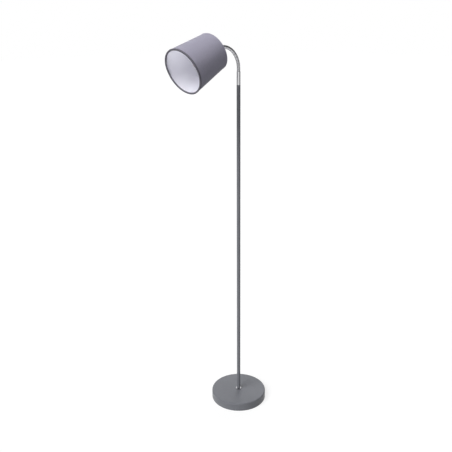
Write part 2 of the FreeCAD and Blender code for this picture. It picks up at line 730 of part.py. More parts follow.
def make_shade():
    cone_skin("shade_fabric", "0", FABRIC_INSIDE, NARROW_END, WIDE_END)
    cone_skin("shade_lining", LINING_OUTSIDE, LINING_INSIDE, NARROW_END, WIDE_END)
    make_hem("opening_hem", WIDE_END, "-")
    make_hem("narrow_hem", NARROW_END, "+")
    opening_height = f"({WIDE_END} - Size.ring_wire / 2)"
    opening_ring = wire_ring("shade_opening_ring", opening_height)
    finish(opening_ring, "shade_opening_ring", f"{ON_HEAD} * {moved(z=opening_height)}")
    make_spider()
    ring_bottom = f"({SHOULDER_FACE} + Size.fitter_thickness)"
    clamp_inside = f"({HOLDER_RADIUS} + Size.press_gap)"
    clamp = tube("shade_clamp_ring", f"{clamp_inside} + Size.clamp_ring_width", clamp_inside,
                 ring_bottom, f"{ring_bottom} + Size.clamp_ring_length")
    finish(clamp, "shade_clamp_ring", ON_HEAD)


def check_and_export():
    """Stop if anything failed; otherwise write one STEP file for each sub-part."""
    doc.recompute()
    for item in doc.Objects:
        if "Invalid" in item.State or "Error" in item.State:
            raise RuntimeError(f"{item.Label} is {item.State}")
    for piece in sub_parts:
        if piece.Shape.isNull() or not piece.Shape.isValid():
            raise RuntimeError(f"{piece.Label} has no valid shape")
    os.makedirs("parts", exist_ok=True)
    for piece in sub_parts:
        piece.Shape.exportStep(f"parts/{piece.Label}.step")
    print(len(sub_parts), "sub-parts")


make_base_cover()
make_base_weight()
make_base_underside()
make_cord_grommet()
make_base_fasteners()
make_foot_collar()
make_pole()
make_pole_top_plug()
make_ferrule()
make_neck()
make_neck_end_bush()
make_lampholder()
make_bulb()
make_shade()
check_and_export()
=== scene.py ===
# %% [markdown]
# # A gooseneck reading floor lamp
#
# A round painted base, a slim painted pole, a bright flexible neck and a cloth shade. The packed
# model already has every rigid piece at its real size. This lesson gives those pieces their
# finishes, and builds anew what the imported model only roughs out: the wound neck, the cloth
# shade with its folded edges, and the small turned details.

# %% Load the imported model
import json
import math

import bmesh
import bpy
from mathutils import Matrix, Vector
from mathutils.geometry import intersect_line_line


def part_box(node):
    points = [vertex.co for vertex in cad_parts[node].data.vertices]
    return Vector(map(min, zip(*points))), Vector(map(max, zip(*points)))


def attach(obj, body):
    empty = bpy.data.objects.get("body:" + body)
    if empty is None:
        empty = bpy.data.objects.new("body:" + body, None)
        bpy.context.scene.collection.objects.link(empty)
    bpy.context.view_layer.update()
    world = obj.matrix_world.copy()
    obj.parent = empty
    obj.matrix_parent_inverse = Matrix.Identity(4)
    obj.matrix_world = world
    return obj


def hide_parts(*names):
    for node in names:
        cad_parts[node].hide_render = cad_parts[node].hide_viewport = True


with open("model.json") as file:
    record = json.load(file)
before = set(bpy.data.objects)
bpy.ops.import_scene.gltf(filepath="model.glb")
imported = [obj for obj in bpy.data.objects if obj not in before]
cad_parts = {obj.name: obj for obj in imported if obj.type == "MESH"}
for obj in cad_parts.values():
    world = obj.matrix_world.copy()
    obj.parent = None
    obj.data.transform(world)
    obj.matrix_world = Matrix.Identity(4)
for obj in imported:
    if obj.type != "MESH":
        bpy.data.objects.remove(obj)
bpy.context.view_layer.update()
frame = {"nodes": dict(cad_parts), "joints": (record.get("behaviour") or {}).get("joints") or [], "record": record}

MM = 0.001


def new_object(name, data):
    """Put new data, such as a mesh or a lamp, in the scene as an object."""
    made = bpy.data.objects.new(name, data)
    bpy.context.scene.collection.objects.link(made)
    return made

# %% [markdown]
# ## Camera
#
# The picture was taken from in front of the lamp's left side and from above the middle of the
# pole, looking a little down. The numbers below came from fitting the outlines of the base, the
# pole, the neck and the shade. The camera turns about the pole's foot, so its place is worked
# out from the turn, the distance, the height and the small sideways offset of the pole.

# %% Place the camera
FRAME_PIXELS = 452
FOCAL_PIXELS = 587.3
SENSOR_WIDTH_MM = 36.0
CAMERA_DISTANCE = 2.30
CAMERA_HEIGHT = 1.5961
POLE_OFFSET = 0.0520
CAMERA_TURN = math.radians(-43.67)
CAMERA_PITCH = math.radians(18.715)
CAMERA_ROLL = math.radians(-0.432)

camera_data = bpy.data.cameras.new("camera")
camera_data.sensor_width = SENSOR_WIDTH_MM
camera_data.lens = FOCAL_PIXELS / FRAME_PIXELS * SENSOR_WIDTH_MM
camera = new_object("camera", camera_data)
bpy.context.scene.camera = camera
about_pole = Matrix.Rotation(CAMERA_TURN, 4, "Z")
standing = Matrix.Translation((-POLE_OFFSET, -CAMERA_DISTANCE, CAMERA_HEIGHT))
pitched = Matrix.Rotation(math.radians(90) - CAMERA_PITCH, 4, "X")
rolled = Matrix.Rotation(CAMERA_ROLL, 4, "Z")
camera.matrix_world = about_pole @ standing @ pitched @ rolled
bpy.context.scene.view_settings.view_transform = "Standard"
print("lens", round(camera_data.lens, 2), "mm")

# %% [markdown]
# ## Helpers for node trees
#
# Every finish below is a tree of nodes. Written out one call at a time, a tree takes many lines
# that all look alike, so a few helpers add a node, set it and join its inputs. Plain numbers that
# are the same all over a surface go straight onto the shader, because other programs read them
# there.

# %% Node helpers
def feed(tree, node, inputs):
    """Set or join a node's inputs, given by their names or their numbers."""
    for name, value in inputs.items():
        if isinstance(value, bpy.types.NodeSocket):
            tree.links.new(value, node.inputs[name])
        else:
            node.inputs[name].default_value = value


def new_node(tree, kind, inputs=None, **settings):
    """Add a node, set its properties, and feed its inputs."""
    node = tree.nodes.new(kind)
    for name, value in settings.items():
        setattr(node, name, value)
    feed(tree, node, inputs or {})
    return node


def new_material(name, **shader_values):
    """An empty node material with one Principled shader, whose sockets get the given values."""
    material = bpy.data.materials.new(name)
    material.use_nodes = True
    tree = material.node_tree
    tree.nodes.clear()
    values = {socket_name.replace("_", " "): value for socket_name, value in shader_values.items()}
    shader = new_node(tree, "ShaderNodeBsdfPrincipled", values)
    new_node(tree, "ShaderNodeOutputMaterial", {"Surface": shader.outputs["BSDF"]})
    return material, tree, shader


def calculate(tree, operation, *values):
    """The result of a math node on sockets or numbers."""
    return new_node(tree, "ShaderNodeMath", dict(enumerate(values)), operation=operation).outputs[0]


def vector_math(tree, operation, *values):
    """The outputs of a vector node on sockets or triples of numbers."""
    return new_node(tree, "ShaderNodeVectorMath", dict(enumerate(values)), operation=operation).outputs


def mapped(tree, value, span, result, **settings):
    """A value carried from one range of numbers onto another."""
    return new_node(tree, "ShaderNodeMapRange", {
        "Value": value, "From Min": span[0], "From Max": span[1],
        "To Min": result[0], "To Max": result[1]}, **settings).outputs["Result"]


def path_kinds(tree):
    """Sockets that are 1 for camera or see-through rays, and 1 for mirror rays."""
    path = new_node(tree, "ShaderNodeLightPath").outputs
    direct = calculate(tree, "MAXIMUM", path["Is Camera Ray"], path["Is Transmission Ray"])
    return direct, path["Is Glossy Ray"]


print("node helpers ready")

# %% [markdown]
# ## Backdrop and light
#
# The lamp stands on seamless white. The floor also shines a little for the camera, so that it
# reaches white without more light on the lamp, and still shows the lamp's soft shadow.
#
# Polished metal shows what stands round it. In a studio that is a white sweep, which runs from
# behind the lamp to the camera and on, with a white floor nearby, a greyer room on the two sides
# and a dark ceiling over the camera. That is what gives a chrome tube its bright streak between
# dark edges. So the floor and the world shine as white for mirror rays inside the sweep, and less
# outside it, least on the right. The key light comes from above and from the left, and two weaker
# ones come from the front and from behind. All are wide suns, because those light the floor
# evenly, and none is itself seen in the metal. The white lining would stay dark with these alone,
# so a low lamp is added further on, once the pieces inside the shade are made.

# %% Sizes of the studio
FLOOR_HALF_SIZE = 30.0
FLOOR_COLOUR = 0.30
FLOOR_GLOW = 0.78
SWEEP_CENTRE = -0.08
SWEEP_HALF_WIDTH = 0.55
SWEEP_SOFT_EDGE = 0.08
ROOM_LEFT_GREY = 0.42
ROOM_RIGHT_GREY = 0.05
CEILING_GREY = 0.08
CEILING_TILT = math.radians(25)
CEILING_EDGE = (0.48, 0.72)
NEAR_FLOOR = 6.0
NEAR_FLOOR_END = 1.3 * NEAR_FLOOR
WORLD_FILL = 0.12

toward_camera = about_pole @ Vector((0, -1, 0))
camera_left = about_pole @ Vector((-1, 0, 0))
to_ceiling = Vector((0, 0, math.cos(CEILING_TILT))) + math.sin(CEILING_TILT) * toward_camera


def share_along(tree, direction, axis):
    """How far a direction points along a fixed one, from -1 to 1."""
    return vector_math(tree, "DOT_PRODUCT", direction, axis)["Value"]


def mirrored_room(tree, direction):
    """How bright the room is for mirror rays in a direction."""
    leftward = share_along(tree, direction, camera_left)
    side = mapped(tree, leftward, (-1.0, 1.0), (ROOM_RIGHT_GREY, ROOM_LEFT_GREY))
    offset = calculate(tree, "ABSOLUTE", calculate(tree, "SUBTRACT", leftward, SWEEP_CENTRE))
    sweep_edge = (SWEEP_HALF_WIDTH - SWEEP_SOFT_EDGE, SWEEP_HALF_WIDTH + SWEEP_SOFT_EDGE)
    walls = mapped(tree, offset, sweep_edge, (1.0, side), interpolation_type="SMOOTHSTEP")
    return mapped(tree, share_along(tree, direction, to_ceiling), CEILING_EDGE, (walls, CEILING_GREY))


sweep_angles = [math.degrees(math.asin(SWEEP_CENTRE + side * SWEEP_HALF_WIDTH)) for side in (1, -1)]
print("the sweep is seen from", [round(angle) for angle in sweep_angles], "degrees, left to right")

# %% Floor, world and lights
SUN_WIDTH = math.radians(40)


def make_floor():
    mesh = bpy.data.meshes.new("floor")
    reach = FLOOR_HALF_SIZE
    corners = [(-reach, -reach, 0), (reach, -reach, 0), (reach, reach, 0), (-reach, reach, 0)]
    mesh.from_pydata(corners, [], [(0, 1, 2, 3)])
    floor = new_object("floor", mesh)
    material, tree, shader = new_material("floor_white", Roughness=1.0, Specular_IOR_Level=0.0)
    where = new_node(tree, "ShaderNodeTexCoord").outputs["Object"]
    outward = vector_math(tree, "NORMALIZE", where)["Vector"]
    away = vector_math(tree, "LENGTH", where)["Value"]
    mirrored = mapped(tree, away, (NEAR_FLOOR, NEAR_FLOOR_END), (1.0, mirrored_room(tree, outward)))
    direct, mirror = path_kinds(tree)
    seen = calculate(tree, "MULTIPLY_ADD", mirror, mirrored, direct)
    feed(tree, shader, {"Base Color": (FLOOR_COLOUR, FLOOR_COLOUR, FLOOR_COLOUR, 1),
                        "Emission Color": (1, 1, 1, 1),
                        "Emission Strength": calculate(tree, "MULTIPLY", seen, FLOOR_GLOW)})
    mesh.materials.append(material)


def make_world():
    world = bpy.data.worlds.new("studio")
    world.use_nodes = True
    bpy.context.scene.world = world
    tree = world.node_tree
    tree.nodes.clear()
    direction = new_node(tree, "ShaderNodeTexCoord").outputs["Generated"]
    direct, mirror = path_kinds(tree)
    other = calculate(tree, "SUBTRACT", calculate(tree, "SUBTRACT", 1.0, direct), mirror)
    shown = calculate(tree, "MULTIPLY_ADD", mirror, mirrored_room(tree, direction), direct)
    strength = calculate(tree, "MULTIPLY_ADD", other, WORLD_FILL, shown)
    background = new_node(tree, "ShaderNodeBackground", {"Color": (1, 1, 1, 1), "Strength": strength})
    new_node(tree, "ShaderNodeOutputWorld", {"Surface": background.outputs["Background"]})


def make_sun(name, strength, leftward, forward, upward):
    """A wide sun that shines from a direction given as seen from the camera."""
    data = bpy.data.lights.new(name, "SUN")
    data.energy = strength
    data.angle = SUN_WIDTH
    lamp = new_object(name, data)
    toward_light = leftward * camera_left + forward * toward_camera + upward * Vector((0, 0, 1))
    lamp.matrix_world = toward_light.to_track_quat("Z", "Y").to_matrix().to_4x4()
    lamp.visible_glossy = False


make_floor()
make_world()
make_sun("key_light", 2.4, leftward=0.50, forward=0.45, upward=0.75)
make_sun("front_light", 0.6, leftward=0.20, forward=0.90, upward=0.12)
make_sun("back_light", 1.2, leftward=-0.20, forward=-1.00, upward=0.25)
print("floor, world and three lights")

# %% [markdown]
# ## Finishes for hard pieces
#
# Each finish starts from the same parts: noise in the object's own coordinates for patchy colour
# and gloss, and finer noise for the texture that can be felt. The helpers below make those, and
# one of them makes a whole plain finish, so that each material only says what is special about it.

# %% Helpers for finishes
NOISE_MIDDLE = (0.3, 0.7)


def rgb(red, green, blue):
    return (red, green, blue, 1.0)


def on_object(tree, stretch=(1, 1, 1)):
    """Object coordinates, stretched by a factor along each axis."""
    where = new_node(tree, "ShaderNodeTexCoord").outputs["Object"]
    return new_node(tree, "ShaderNodeMapping", {"Vector": where, "Scale": stretch}).outputs["Vector"]


def noise(tree, where, scale, detail):
    """Noise of about so many blotches in a metre."""
    node = new_node(tree, "ShaderNodeTexNoise", {"Vector": where, "Scale": scale, "Detail": detail})
    return node.outputs["Fac"]


def spread(tree, value, low, high):
    """Stretch the middle of a noise value onto a range."""
    return mapped(tree, value, NOISE_MIDDLE, (low, high))


def between(tree, share, first, second):
    """A colour between two colours, over the middle of a noise value."""
    ramp = new_node(tree, "ShaderNodeValToRGB", {"Fac": share})
    for element, position, colour in zip(ramp.color_ramp.elements, NOISE_MIDDLE, (first, second)):
        element.position = position
        element.color = colour
    return ramp.outputs["Color"]


def raise_surface(tree, shader, height, distance):
    """Bump the shader by a height of 0 to 1 that stands for so many metres."""
    bump = new_node(tree, "ShaderNodeBump", {"Height": height, "Distance": distance})
    tree.links.new(bump.outputs["Normal"], shader.inputs["Normal"])


def make_finish(name, colours, patches, gloss, rubbing, texture, **shader_values):
    """A material with patchy colour, patchy gloss and a fine bump.

    patches, rubbing and texture are noises, each as (scale, detail); texture has its depth too.
    """
    material, tree, shader = new_material(name, **shader_values)
    where = on_object(tree)
    scale, detail, depth = texture
    feed(tree, shader, {"Base Color": between(tree, noise(tree, where, *patches), *colours),
                        "Roughness": spread(tree, noise(tree, where, *rubbing), *gloss)})
    raise_surface(tree, shader, noise(tree, where, scale, detail), depth)
    return material


print("finish helpers ready")

# %% [markdown]
# ### Powder-coated steel
#
# The base and the pole share one satin grey. Baked powder never lies quite flat: it has a fine
# orange-peel texture about a millimetre across, and its gloss changes a little from place to
# place where hands and cloths have rubbed it.

# %% Painted steel
painted_steel = make_finish(
    "painted_steel", (rgb(0.186, 0.192, 0.215), rgb(0.211, 0.218, 0.242)), patches=(9, 4),
    gloss=(0.36, 0.47), rubbing=(45, 5), texture=(850, 2, 0.06 * MM), Specular_IOR_Level=0.45)
print("made", painted_steel.name)

# %% [markdown]
# ### Bright plating
#
# The collar, the ferrule and the neck are chrome plated. Polished metal is all reflection, so its
# own colour is nearly grey and even. A turned sleeve keeps faint polishing lines round its axis,
# which a noise that is squeezed along Z gives. The shader's tint darkens the metal where it is
# seen edge-on, as chromium does.

# %% Chrome and plated wire
EDGE_TINT = rgb(0.34, 0.34, 0.36)
PATCH_DARKNESS = 0.92
LINE_STRETCH = (40, 40, 4000)


def make_plating(name, colour, gloss, line_depth):
    material, tree, shader = new_material(name, Metallic=1.0, Specular_Tint=EDGE_TINT)
    tint = noise(tree, on_object(tree), 60, 3)
    darker = rgb(*(PATCH_DARKNESS * part for part in colour[:3]))
    lines = noise(tree, on_object(tree, LINE_STRETCH), 1, 2)
    feed(tree, shader, {"Base Color": between(tree, tint, darker, colour),
                        "Roughness": spread(tree, lines, *gloss)})
    raise_surface(tree, shader, lines, line_depth)
    return material


bright_chrome = make_plating("bright_chrome", rgb(0.72, 0.72, 0.74), (0.08, 0.16), 0.002 * MM)
neck_steel = make_plating("neck_steel", rgb(0.68, 0.68, 0.70), (0.12, 0.22), 0.003 * MM)
print("made", bright_chrome.name, "and", neck_steel.name)

# %% [markdown]
# ### Hidden metals and the weight
#
# The nuts, plates and plugs are zinc plated, which is blotchy and satin. The lampholder's
# contacts are brass with a little tarnish. The weight in the base is a cast stone mix: pale
# grains in a rough grey binder.

# %% Zinc, brass and cast stone
def make_metal(name, first, second, blotches, gloss):
    return make_finish(name, (first, second), patches=(blotches, 5), gloss=gloss,
                       rubbing=(4 * blotches, 3), texture=(2500, 2, 0.008 * MM), Metallic=1.0)


def make_cast_stone():
    material, tree, shader = new_material("cast_stone", Roughness=0.9)
    where = on_object(tree)
    grains = new_node(tree, "ShaderNodeTexVoronoi", {"Vector": where, "Scale": 350.0})
    pale = between(tree, grains.outputs["Distance"], rgb(0.48, 0.46, 0.42), rgb(0.26, 0.25, 0.24))
    feed(tree, shader, {"Base Color": pale})
    raise_surface(tree, shader, noise(tree, where, 500, 6), 0.4 * MM)
    return material


zinc_steel = make_metal("zinc_steel", rgb(0.60, 0.62, 0.66), rgb(0.70, 0.70, 0.68), 120, (0.28, 0.42))
brass = make_metal("brass", rgb(0.62, 0.44, 0.19), rgb(0.80, 0.62, 0.32), 90, (0.2, 0.38))
cast_stone = make_cast_stone()
print("made", zinc_steel.name, brass.name, cast_stone.name)

# %% [markdown]
# ### Rubber, moulding, glaze and opal
#
# The rubbers are black with a dusty bloom, and the foam under the base has open cells. The white
# mouldings have a faint sparkle from the mould, and the ceramic core is glazed. The bulb's globe
# is opal, so light goes a little way into it before it comes back.

# %% Rubber, plastic, ceramic and opal
def make_rubber(name, cell_scale, depth):
    material, tree, shader = new_material(name, Specular_IOR_Level=0.3)
    where = on_object(tree)
    bloom = noise(tree, where, 70, 5)
    black, dusty = rgb(0.018, 0.018, 0.019), rgb(0.034, 0.034, 0.036)
    feed(tree, shader, {"Base Color": between(tree, bloom, black, dusty),
                        "Roughness": spread(tree, bloom, 0.55, 0.8)})
    cells = new_node(tree, "ShaderNodeTexVoronoi", {"Vector": where, "Scale": cell_scale})
    raise_surface(tree, shader, cells.outputs["Distance"], depth)
    return material


def make_white(name, first, second, gloss, texture_scale, depth, **shader_values):
    """A white piece with faint patches, a gloss that varies, and a fine texture."""
    return make_finish(name, (first, second), patches=(30, 4), gloss=gloss, rubbing=(160, 3),
                       texture=(texture_scale, 2, depth), **shader_values)


rubber = make_rubber("rubber", 1500.0, 0.02 * MM)
foam_rubber = make_rubber("foam_rubber", 900.0, 0.25 * MM)
white_moulding = make_white("white_moulding", rgb(0.74, 0.74, 0.72), rgb(0.79, 0.79, 0.775),
                            (0.28, 0.4), 2200, 0.01 * MM)
white_ceramic = make_white("white_ceramic", rgb(0.76, 0.75, 0.71), rgb(0.82, 0.81, 0.78),
                           (0.12, 0.2), 400, 0.02 * MM, Coat_Weight=0.5)
white_wire = make_white("white_wire", rgb(0.72, 0.72, 0.715), rgb(0.78, 0.78, 0.775),
                        (0.3, 0.42), 1100, 0.03 * MM)
opal = make_white("opal", rgb(0.80, 0.80, 0.785), rgb(0.84, 0.84, 0.825),
                  (0.2, 0.28), 300, 0.005 * MM, Subsurface_Weight=0.3, Subsurface_Scale=4 * MM)
print("made the rubbers and the whites")

# %% [markdown]
# ### Lining film
#
# The inside of the shade is a white styrene film that the cloth is glued to. It is smooth, a
# little glossy and slightly blue, with a fine grain.

# %% Lining
white_lining = make_white("white_lining", rgb(0.800, 0.795, 0.860), rgb(0.840, 0.835, 0.900),
                          (0.38, 0.5), 1400, 0.01 * MM)
print("made", white_lining.name)

# %% [markdown]
# ### Woven cloth
#
# The shade is covered in a plain weave: each thread goes over one and under the next. The
# pattern has to follow the cloth round the cone, so it reads the cloth's own UV map, which the
# pieces below are given in metres. Two sine waves, one along the shade and one round it, make
# threads of one pitch. Their product is positive where the upright thread lies on top, and
# negative where the other does. Long thin noise along each set of threads gives the slubs.
# The colour also darkens where a thread lies low, which is painted shade between the threads.

# %% Woven cloth
THREAD_PITCH = 0.75 * MM
ROUND_ACROSS = 0.65
ROUND_ALONG = 0.35
SLUBS_ACROSS = 1300
SLUBS_ALONG = 30
THREAD_SHADING = 0.22


def make_cloth(name, dark, light, pitch, depth):
    material, tree, shader = new_material(name, Roughness=0.92, Specular_IOR_Level=0.2,
                                          Sheen_Weight=0.25, Sheen_Roughness=0.4)
    place = new_node(tree, "ShaderNodeUVMap", uv_map="cloth").outputs["UV"]
    axes = new_node(tree, "ShaderNodeSeparateXYZ", {"Vector": place}).outputs

    def times(first, second):
        return calculate(tree, "MULTIPLY", first, second)

    def thread(own_wave, other_wave):
        """The height of a thread, which is round across and sinks a little along its length."""
        return calculate(tree, "MULTIPLY_ADD", other_wave, ROUND_ALONG, times(own_wave, ROUND_ACROSS))

    def slubs(scale):
        stretched = new_node(tree, "ShaderNodeMapping", {"Vector": place, "Scale": scale})
        return noise(tree, stretched.outputs["Vector"], 1, 2)

    across, along = [calculate(tree, "SINE", times(axes[axis], math.pi / pitch)) for axis in "XY"]
    upright_on_top = calculate(tree, "GREATER_THAN", times(across, along), 0.0)
    level_on_top = calculate(tree, "SUBTRACT", 1.0, upright_on_top)
    round_across, round_along = [calculate(tree, "ABSOLUTE", wave) for wave in (across, along)]
    upright = times(thread(round_across, round_along), upright_on_top)
    level = thread(round_along, round_across)
    height = calculate(tree, "MULTIPLY_ADD", level, level_on_top, upright)
    raise_surface(tree, shader, height, depth)
    both_slubs = calculate(tree, "MULTIPLY_ADD", slubs((SLUBS_ACROSS, SLUBS_ALONG, 1)), 0.5,
                           times(slubs((SLUBS_ALONG, SLUBS_ACROSS, 1)), 0.5))
    # Painted shade: the colour darkens where a thread lies low, between the threads, added to the slubs.
    slubs_and_painted_shade = calculate(tree, "MULTIPLY_ADD", calculate(tree, "SUBTRACT", height, 0.5),
                     THREAD_SHADING, both_slubs)
    feed(tree, shader, {"Base Color": between(tree, slubs_and_painted_shade, dark, light)})
    return material


grey_cloth = make_cloth("grey_cloth", rgb(0.400, 0.386, 0.488), rgb(0.520, 0.501, 0.620),
                        THREAD_PITCH, 0.18 * MM)
# Painted shade: the wide hem's strip is coloured darker than the cloth, for the shade on the rim.
hem_tape = make_cloth("hem_tape", rgb(0.165, 0.158, 0.192), rgb(0.225, 0.217, 0.258),
                      0.8 * THREAD_PITCH, 0.12 * MM)
print("made", grey_cloth.name, "and", hem_tape.name)

# %% [markdown]
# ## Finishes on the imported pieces
#
# The rigid pieces already have their true shapes, so they keep their meshes and only get better
# materials in the slots that they came with.

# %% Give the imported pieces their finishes
def give(material, *names):
    for name in names:
        for slot in frame["nodes"][name].material_slots:
            slot.material = material
    print(material.name, "on", len(names), "pieces")


give(painted_steel, "base_cover", "pole_lower", "pole_middle", "pole_upper")
give(cast_stone, "base_weight")
give(zinc_steel, "base_plate", "base_stud", "base_washer", "base_lock_washer", "base_nut",
     "pole_foot_insert", "pole_joint_lower", "pole_joint_upper", "pole_top_plug",
     "ferrule_set_screw", "bulb_cap")
give(bright_chrome, "foot_collar", "neck_ferrule", "neck_end_bush")
give(neck_steel, *(name for name in frame["nodes"] if name.startswith("neck_link")),
     "neck_foot", "neck_tip")
give(foam_rubber, "base_pad")
give(rubber, "cord_grommet")
give(white_moulding, "holder_cap", "holder_body", "shade_clamp_ring", "bulb_body")
give(white_ceramic, "holder_core")
give(brass, "holder_screw_shell", "holder_contact", "holder_terminal_screws", "bulb_contact")
give(white_wire, "shade_spider", "shade_opening_ring")
give(white_lining, "shade_lining")
give(opal, "bulb_globe")
give(hem_tape, "opening_hem")
give(grey_cloth, "shade_fabric", "narrow_hem")

# %% [markdown]
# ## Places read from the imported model
#
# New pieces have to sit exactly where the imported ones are, so their sizes are measured on those.
# The neck bends about a row of hinges, and their pivots give its line. Past the last hinge the
# head is straight, so one matrix carries everything on it: its Z axis is the shade's axis and it
# starts at the last pivot.

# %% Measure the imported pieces
SAME_LEVEL = 0.05 * MM

pivots = [Vector(joint["pos_m"]) for joint in frame["joints"] if joint["name"].startswith("neck_bend")]
link_step = (pivots[1] - pivots[0]).length
bend_axis = Vector((0, -1, 0))
last_link = (pivots[-1] - pivots[-2]).normalized()
bend_at_rest = (pivots[2] - pivots[1]).angle(pivots[1] - pivots[0])
head_axis = Matrix.Rotation(bend_at_rest, 3, bend_axis) @ last_link
ON_FLOOR = Matrix.Identity(4)
ON_HEAD = Matrix.Translation(pivots[-1]) @ head_axis.to_track_quat("Z", "Y").to_matrix().to_4x4()


def measured(node, place):
    """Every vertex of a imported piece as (radius, height) about the Z axis of a place."""
    back = place.inverted()
    points = [back @ vertex.co for vertex in frame["nodes"][node].data.vertices]
    return [(math.hypot(point.x, point.y), point.z) for point in points]


def ends_of(node, place):
    """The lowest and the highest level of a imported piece."""
    heights = [height for radius, height in measured(node, place)]
    return min(heights), max(heights)


def radii_at(node, place, height):
    """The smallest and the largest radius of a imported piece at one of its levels."""
    radii = [radius for radius, level in measured(node, place) if abs(level - height) < SAME_LEVEL]
    return min(radii), max(radii)


narrow_end, wide_end = ends_of("shade_fabric", ON_HEAD)
cloth_outside_narrow = radii_at("shade_fabric", ON_HEAD, narrow_end)[1]
cloth_inside_wide, cloth_outside_wide = radii_at("shade_fabric", ON_HEAD, wide_end)
print("shade is", round((wide_end - narrow_end) / MM, 1), "mm long,",
      round(2 * cloth_outside_wide / MM, 1), "mm across its opening")

# %% [markdown]
# ## Turned pieces
#
# Hems, rings, bushes and the bulb are all round, so one helper turns an outline about an axis.
# The outline is a list of (radius, height) points. Two more helpers prepare outlines: one rounds
# the corners, and one gives a thickness to a line, which is how folded tape is made. The UV map
# runs in metres along the outline and round the piece, for the cloth pattern. Another helper
# makes a finished mesh a piece of the lamp.

# %% Helpers for new pieces
ON_AXIS = 1e-7
TURNED_EDGE = math.radians(35)
CORNER_SHARE = 0.45


def eased(share):
    """A share between 0 and 1 that starts and ends softly."""
    share = min(max(share, 0.0), 1.0)
    return share * share * (3 - 2 * share)


def soften(outline, radius, steps):
    """Round every corner of a closed outline, using up at most a share of each side."""
    rounded = []
    for index, corner in enumerate(outline):
        here = Vector(corner)
        before = Vector(outline[index - 1]) - here
        after = Vector(outline[(index + 1) % len(outline)]) - here
        reach = min(radius, CORNER_SHARE * before.length, CORNER_SHARE * after.length)
        start = here + before.normalized() * reach
        end = here + after.normalized() * reach
        for step in range(steps + 1):
            share = step / steps
            point = start.lerp(here, share).lerp(here.lerp(end, share), share)
            rounded.append((point.x, point.y))
    return rounded


def thicken(line, thickness):
    """A closed outline round an open line of points, like tape seen on its edge."""
    points = [Vector(point) for point in line]
    left, right = [], []
    for index, point in enumerate(points):
        along = points[min(index + 1, len(points) - 1)] - points[max(index - 1, 0)]
        sideways = Vector((-along.y, along.x)).normalized() * thickness / 2
        left.append(tuple(point + sideways))
        right.append(tuple(point - sideways))
    return left + right[::-1]


def mesh_of(name, shape):
    """A mesh made from a bmesh, which is given up."""
    mesh = bpy.data.meshes.new(name)
    shape.to_mesh(mesh)
    shape.free()
    return mesh


def add_piece(mesh, material, body, replaced=None):
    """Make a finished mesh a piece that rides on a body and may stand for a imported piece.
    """
    mesh.materials.clear()
    mesh.materials.append(material)
    piece = new_object(mesh.name, mesh)
    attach(piece, body)
    if replaced:
        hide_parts(replaced)
    return piece


def turned_mesh(name, outline, place, steps=128, lift=None, closed=True):
    """Turn an outline about the Z axis of a place; lift(angle, radius) may add to its radius."""
    shape = bmesh.new()
    uv_map = shape.loops.layers.uv.new("cloth")
    runs = [0.0]
    for index in range(len(outline)):
        following = outline[(index + 1) % len(outline)]
        runs.append(runs[-1] + math.dist(outline[index], following))
    rings = []
    for radius, height in outline:
        if radius < ON_AXIS:
            rings.append([shape.verts.new(place @ Vector((0, 0, height)))] * steps)
            continue
        ring = []
        for step in range(steps):
            angle = 2 * math.pi * step / steps
            reach = radius + (lift(angle, radius) if lift else 0.0)
            point = Vector((reach * math.cos(angle), reach * math.sin(angle), height))
            ring.append(shape.verts.new(place @ point))
        rings.append(ring)
    round_piece = 2 * math.pi * max(radius for radius, height in outline)
    last = len(outline) if closed else len(outline) - 1
    for index in range(last):
        upper = (index + 1) % len(outline)
        for step in range(steps):
            turn = (step + 1) % steps
            corners = [rings[index][step], rings[index][turn], rings[upper][turn], rings[upper][step]]
            places = [(step, index), (step + 1, index), (step + 1, index + 1), (step, index + 1)]
            kept = [n for n in range(4) if corners[n] not in corners[:n]]
            if len(kept) < 3:
                continue
            face = shape.faces.new([corners[n] for n in kept])
            face.smooth = True
            for loop, n in zip(face.loops, kept):
                loop[uv_map].uv = (round_piece * places[n][0] / steps, runs[places[n][1]])
    bmesh.ops.recalc_face_normals(shape, faces=shape.faces)
    mesh = mesh_of(name, shape)
    mesh.set_sharp_from_angle(angle=TURNED_EDGE)
    return mesh


print("helpers for new pieces ready")

# %% [markdown]
# ## The foot
#
# The lamp stands on a foam rubber pad with a softly cut edge. The cord's bush in the back of the
# base is moulded rubber: a neck through the steel with a rounded flange on each side.

# %% Pad and cord bush
PAD_LOWER_EDGE = [(0.8 * MM, 0.0), (0.2 * MM, 0.25 * MM), (0.0, 0.9 * MM)]  # inward, up
PAD_UPPER_EDGE = 0.3 * MM
BUSH_ROUNDING = 0.6 * MM
BORE_MARGIN = 0.1 * MM


def make_pad():
    low, high = ends_of("base_pad", ON_FLOOR)
    radius = radii_at("base_pad", ON_FLOOR, low)[1]
    outline = [(0, low)] + [(radius - inward, low + upward) for inward, upward in PAD_LOWER_EDGE]
    outline += [(radius, high - PAD_UPPER_EDGE), (radius - PAD_UPPER_EDGE, high), (0, high)]
    add_piece(turned_mesh("base_foam_pad", outline, ON_FLOOR, closed=False),
              foam_rubber, "stand", "base_pad")


def make_cord_bush():
    inlet = next(mount for mount in frame["record"]["mounts"] if mount["name"] == "cord_inlet")
    outward = Vector(inlet["axis"]).to_track_quat("Z", "Y").to_matrix().to_4x4()
    place = Matrix.Translation(inlet["pos_m"]) @ outward
    inner, outer = ends_of("cord_grommet", place)
    points = measured("cord_grommet", place)
    bore = inlet["dims"]["r_mm"] * MM
    flange = radii_at("cord_grommet", place, outer)[1]
    neck = min(radius for radius, height in points if bore < radius - BORE_MARGIN)
    wall_outside = 0.0
    wall_inside = sorted({round(height, 5) for radius, height in points})[1]
    corners = [(bore, inner), (flange, inner), (flange, wall_inside), (neck, wall_inside),
               (neck, wall_outside), (flange, wall_outside), (flange, outer), (bore, outer)]
    outline = soften(corners, BUSH_ROUNDING, 4)
    add_piece(turned_mesh("cord_bush", outline, place, 48), rubber, "stand", "cord_grommet")
    print("cord bush bore", round(2 * bore / MM, 1), "mm")


make_pad()
make_cord_bush()

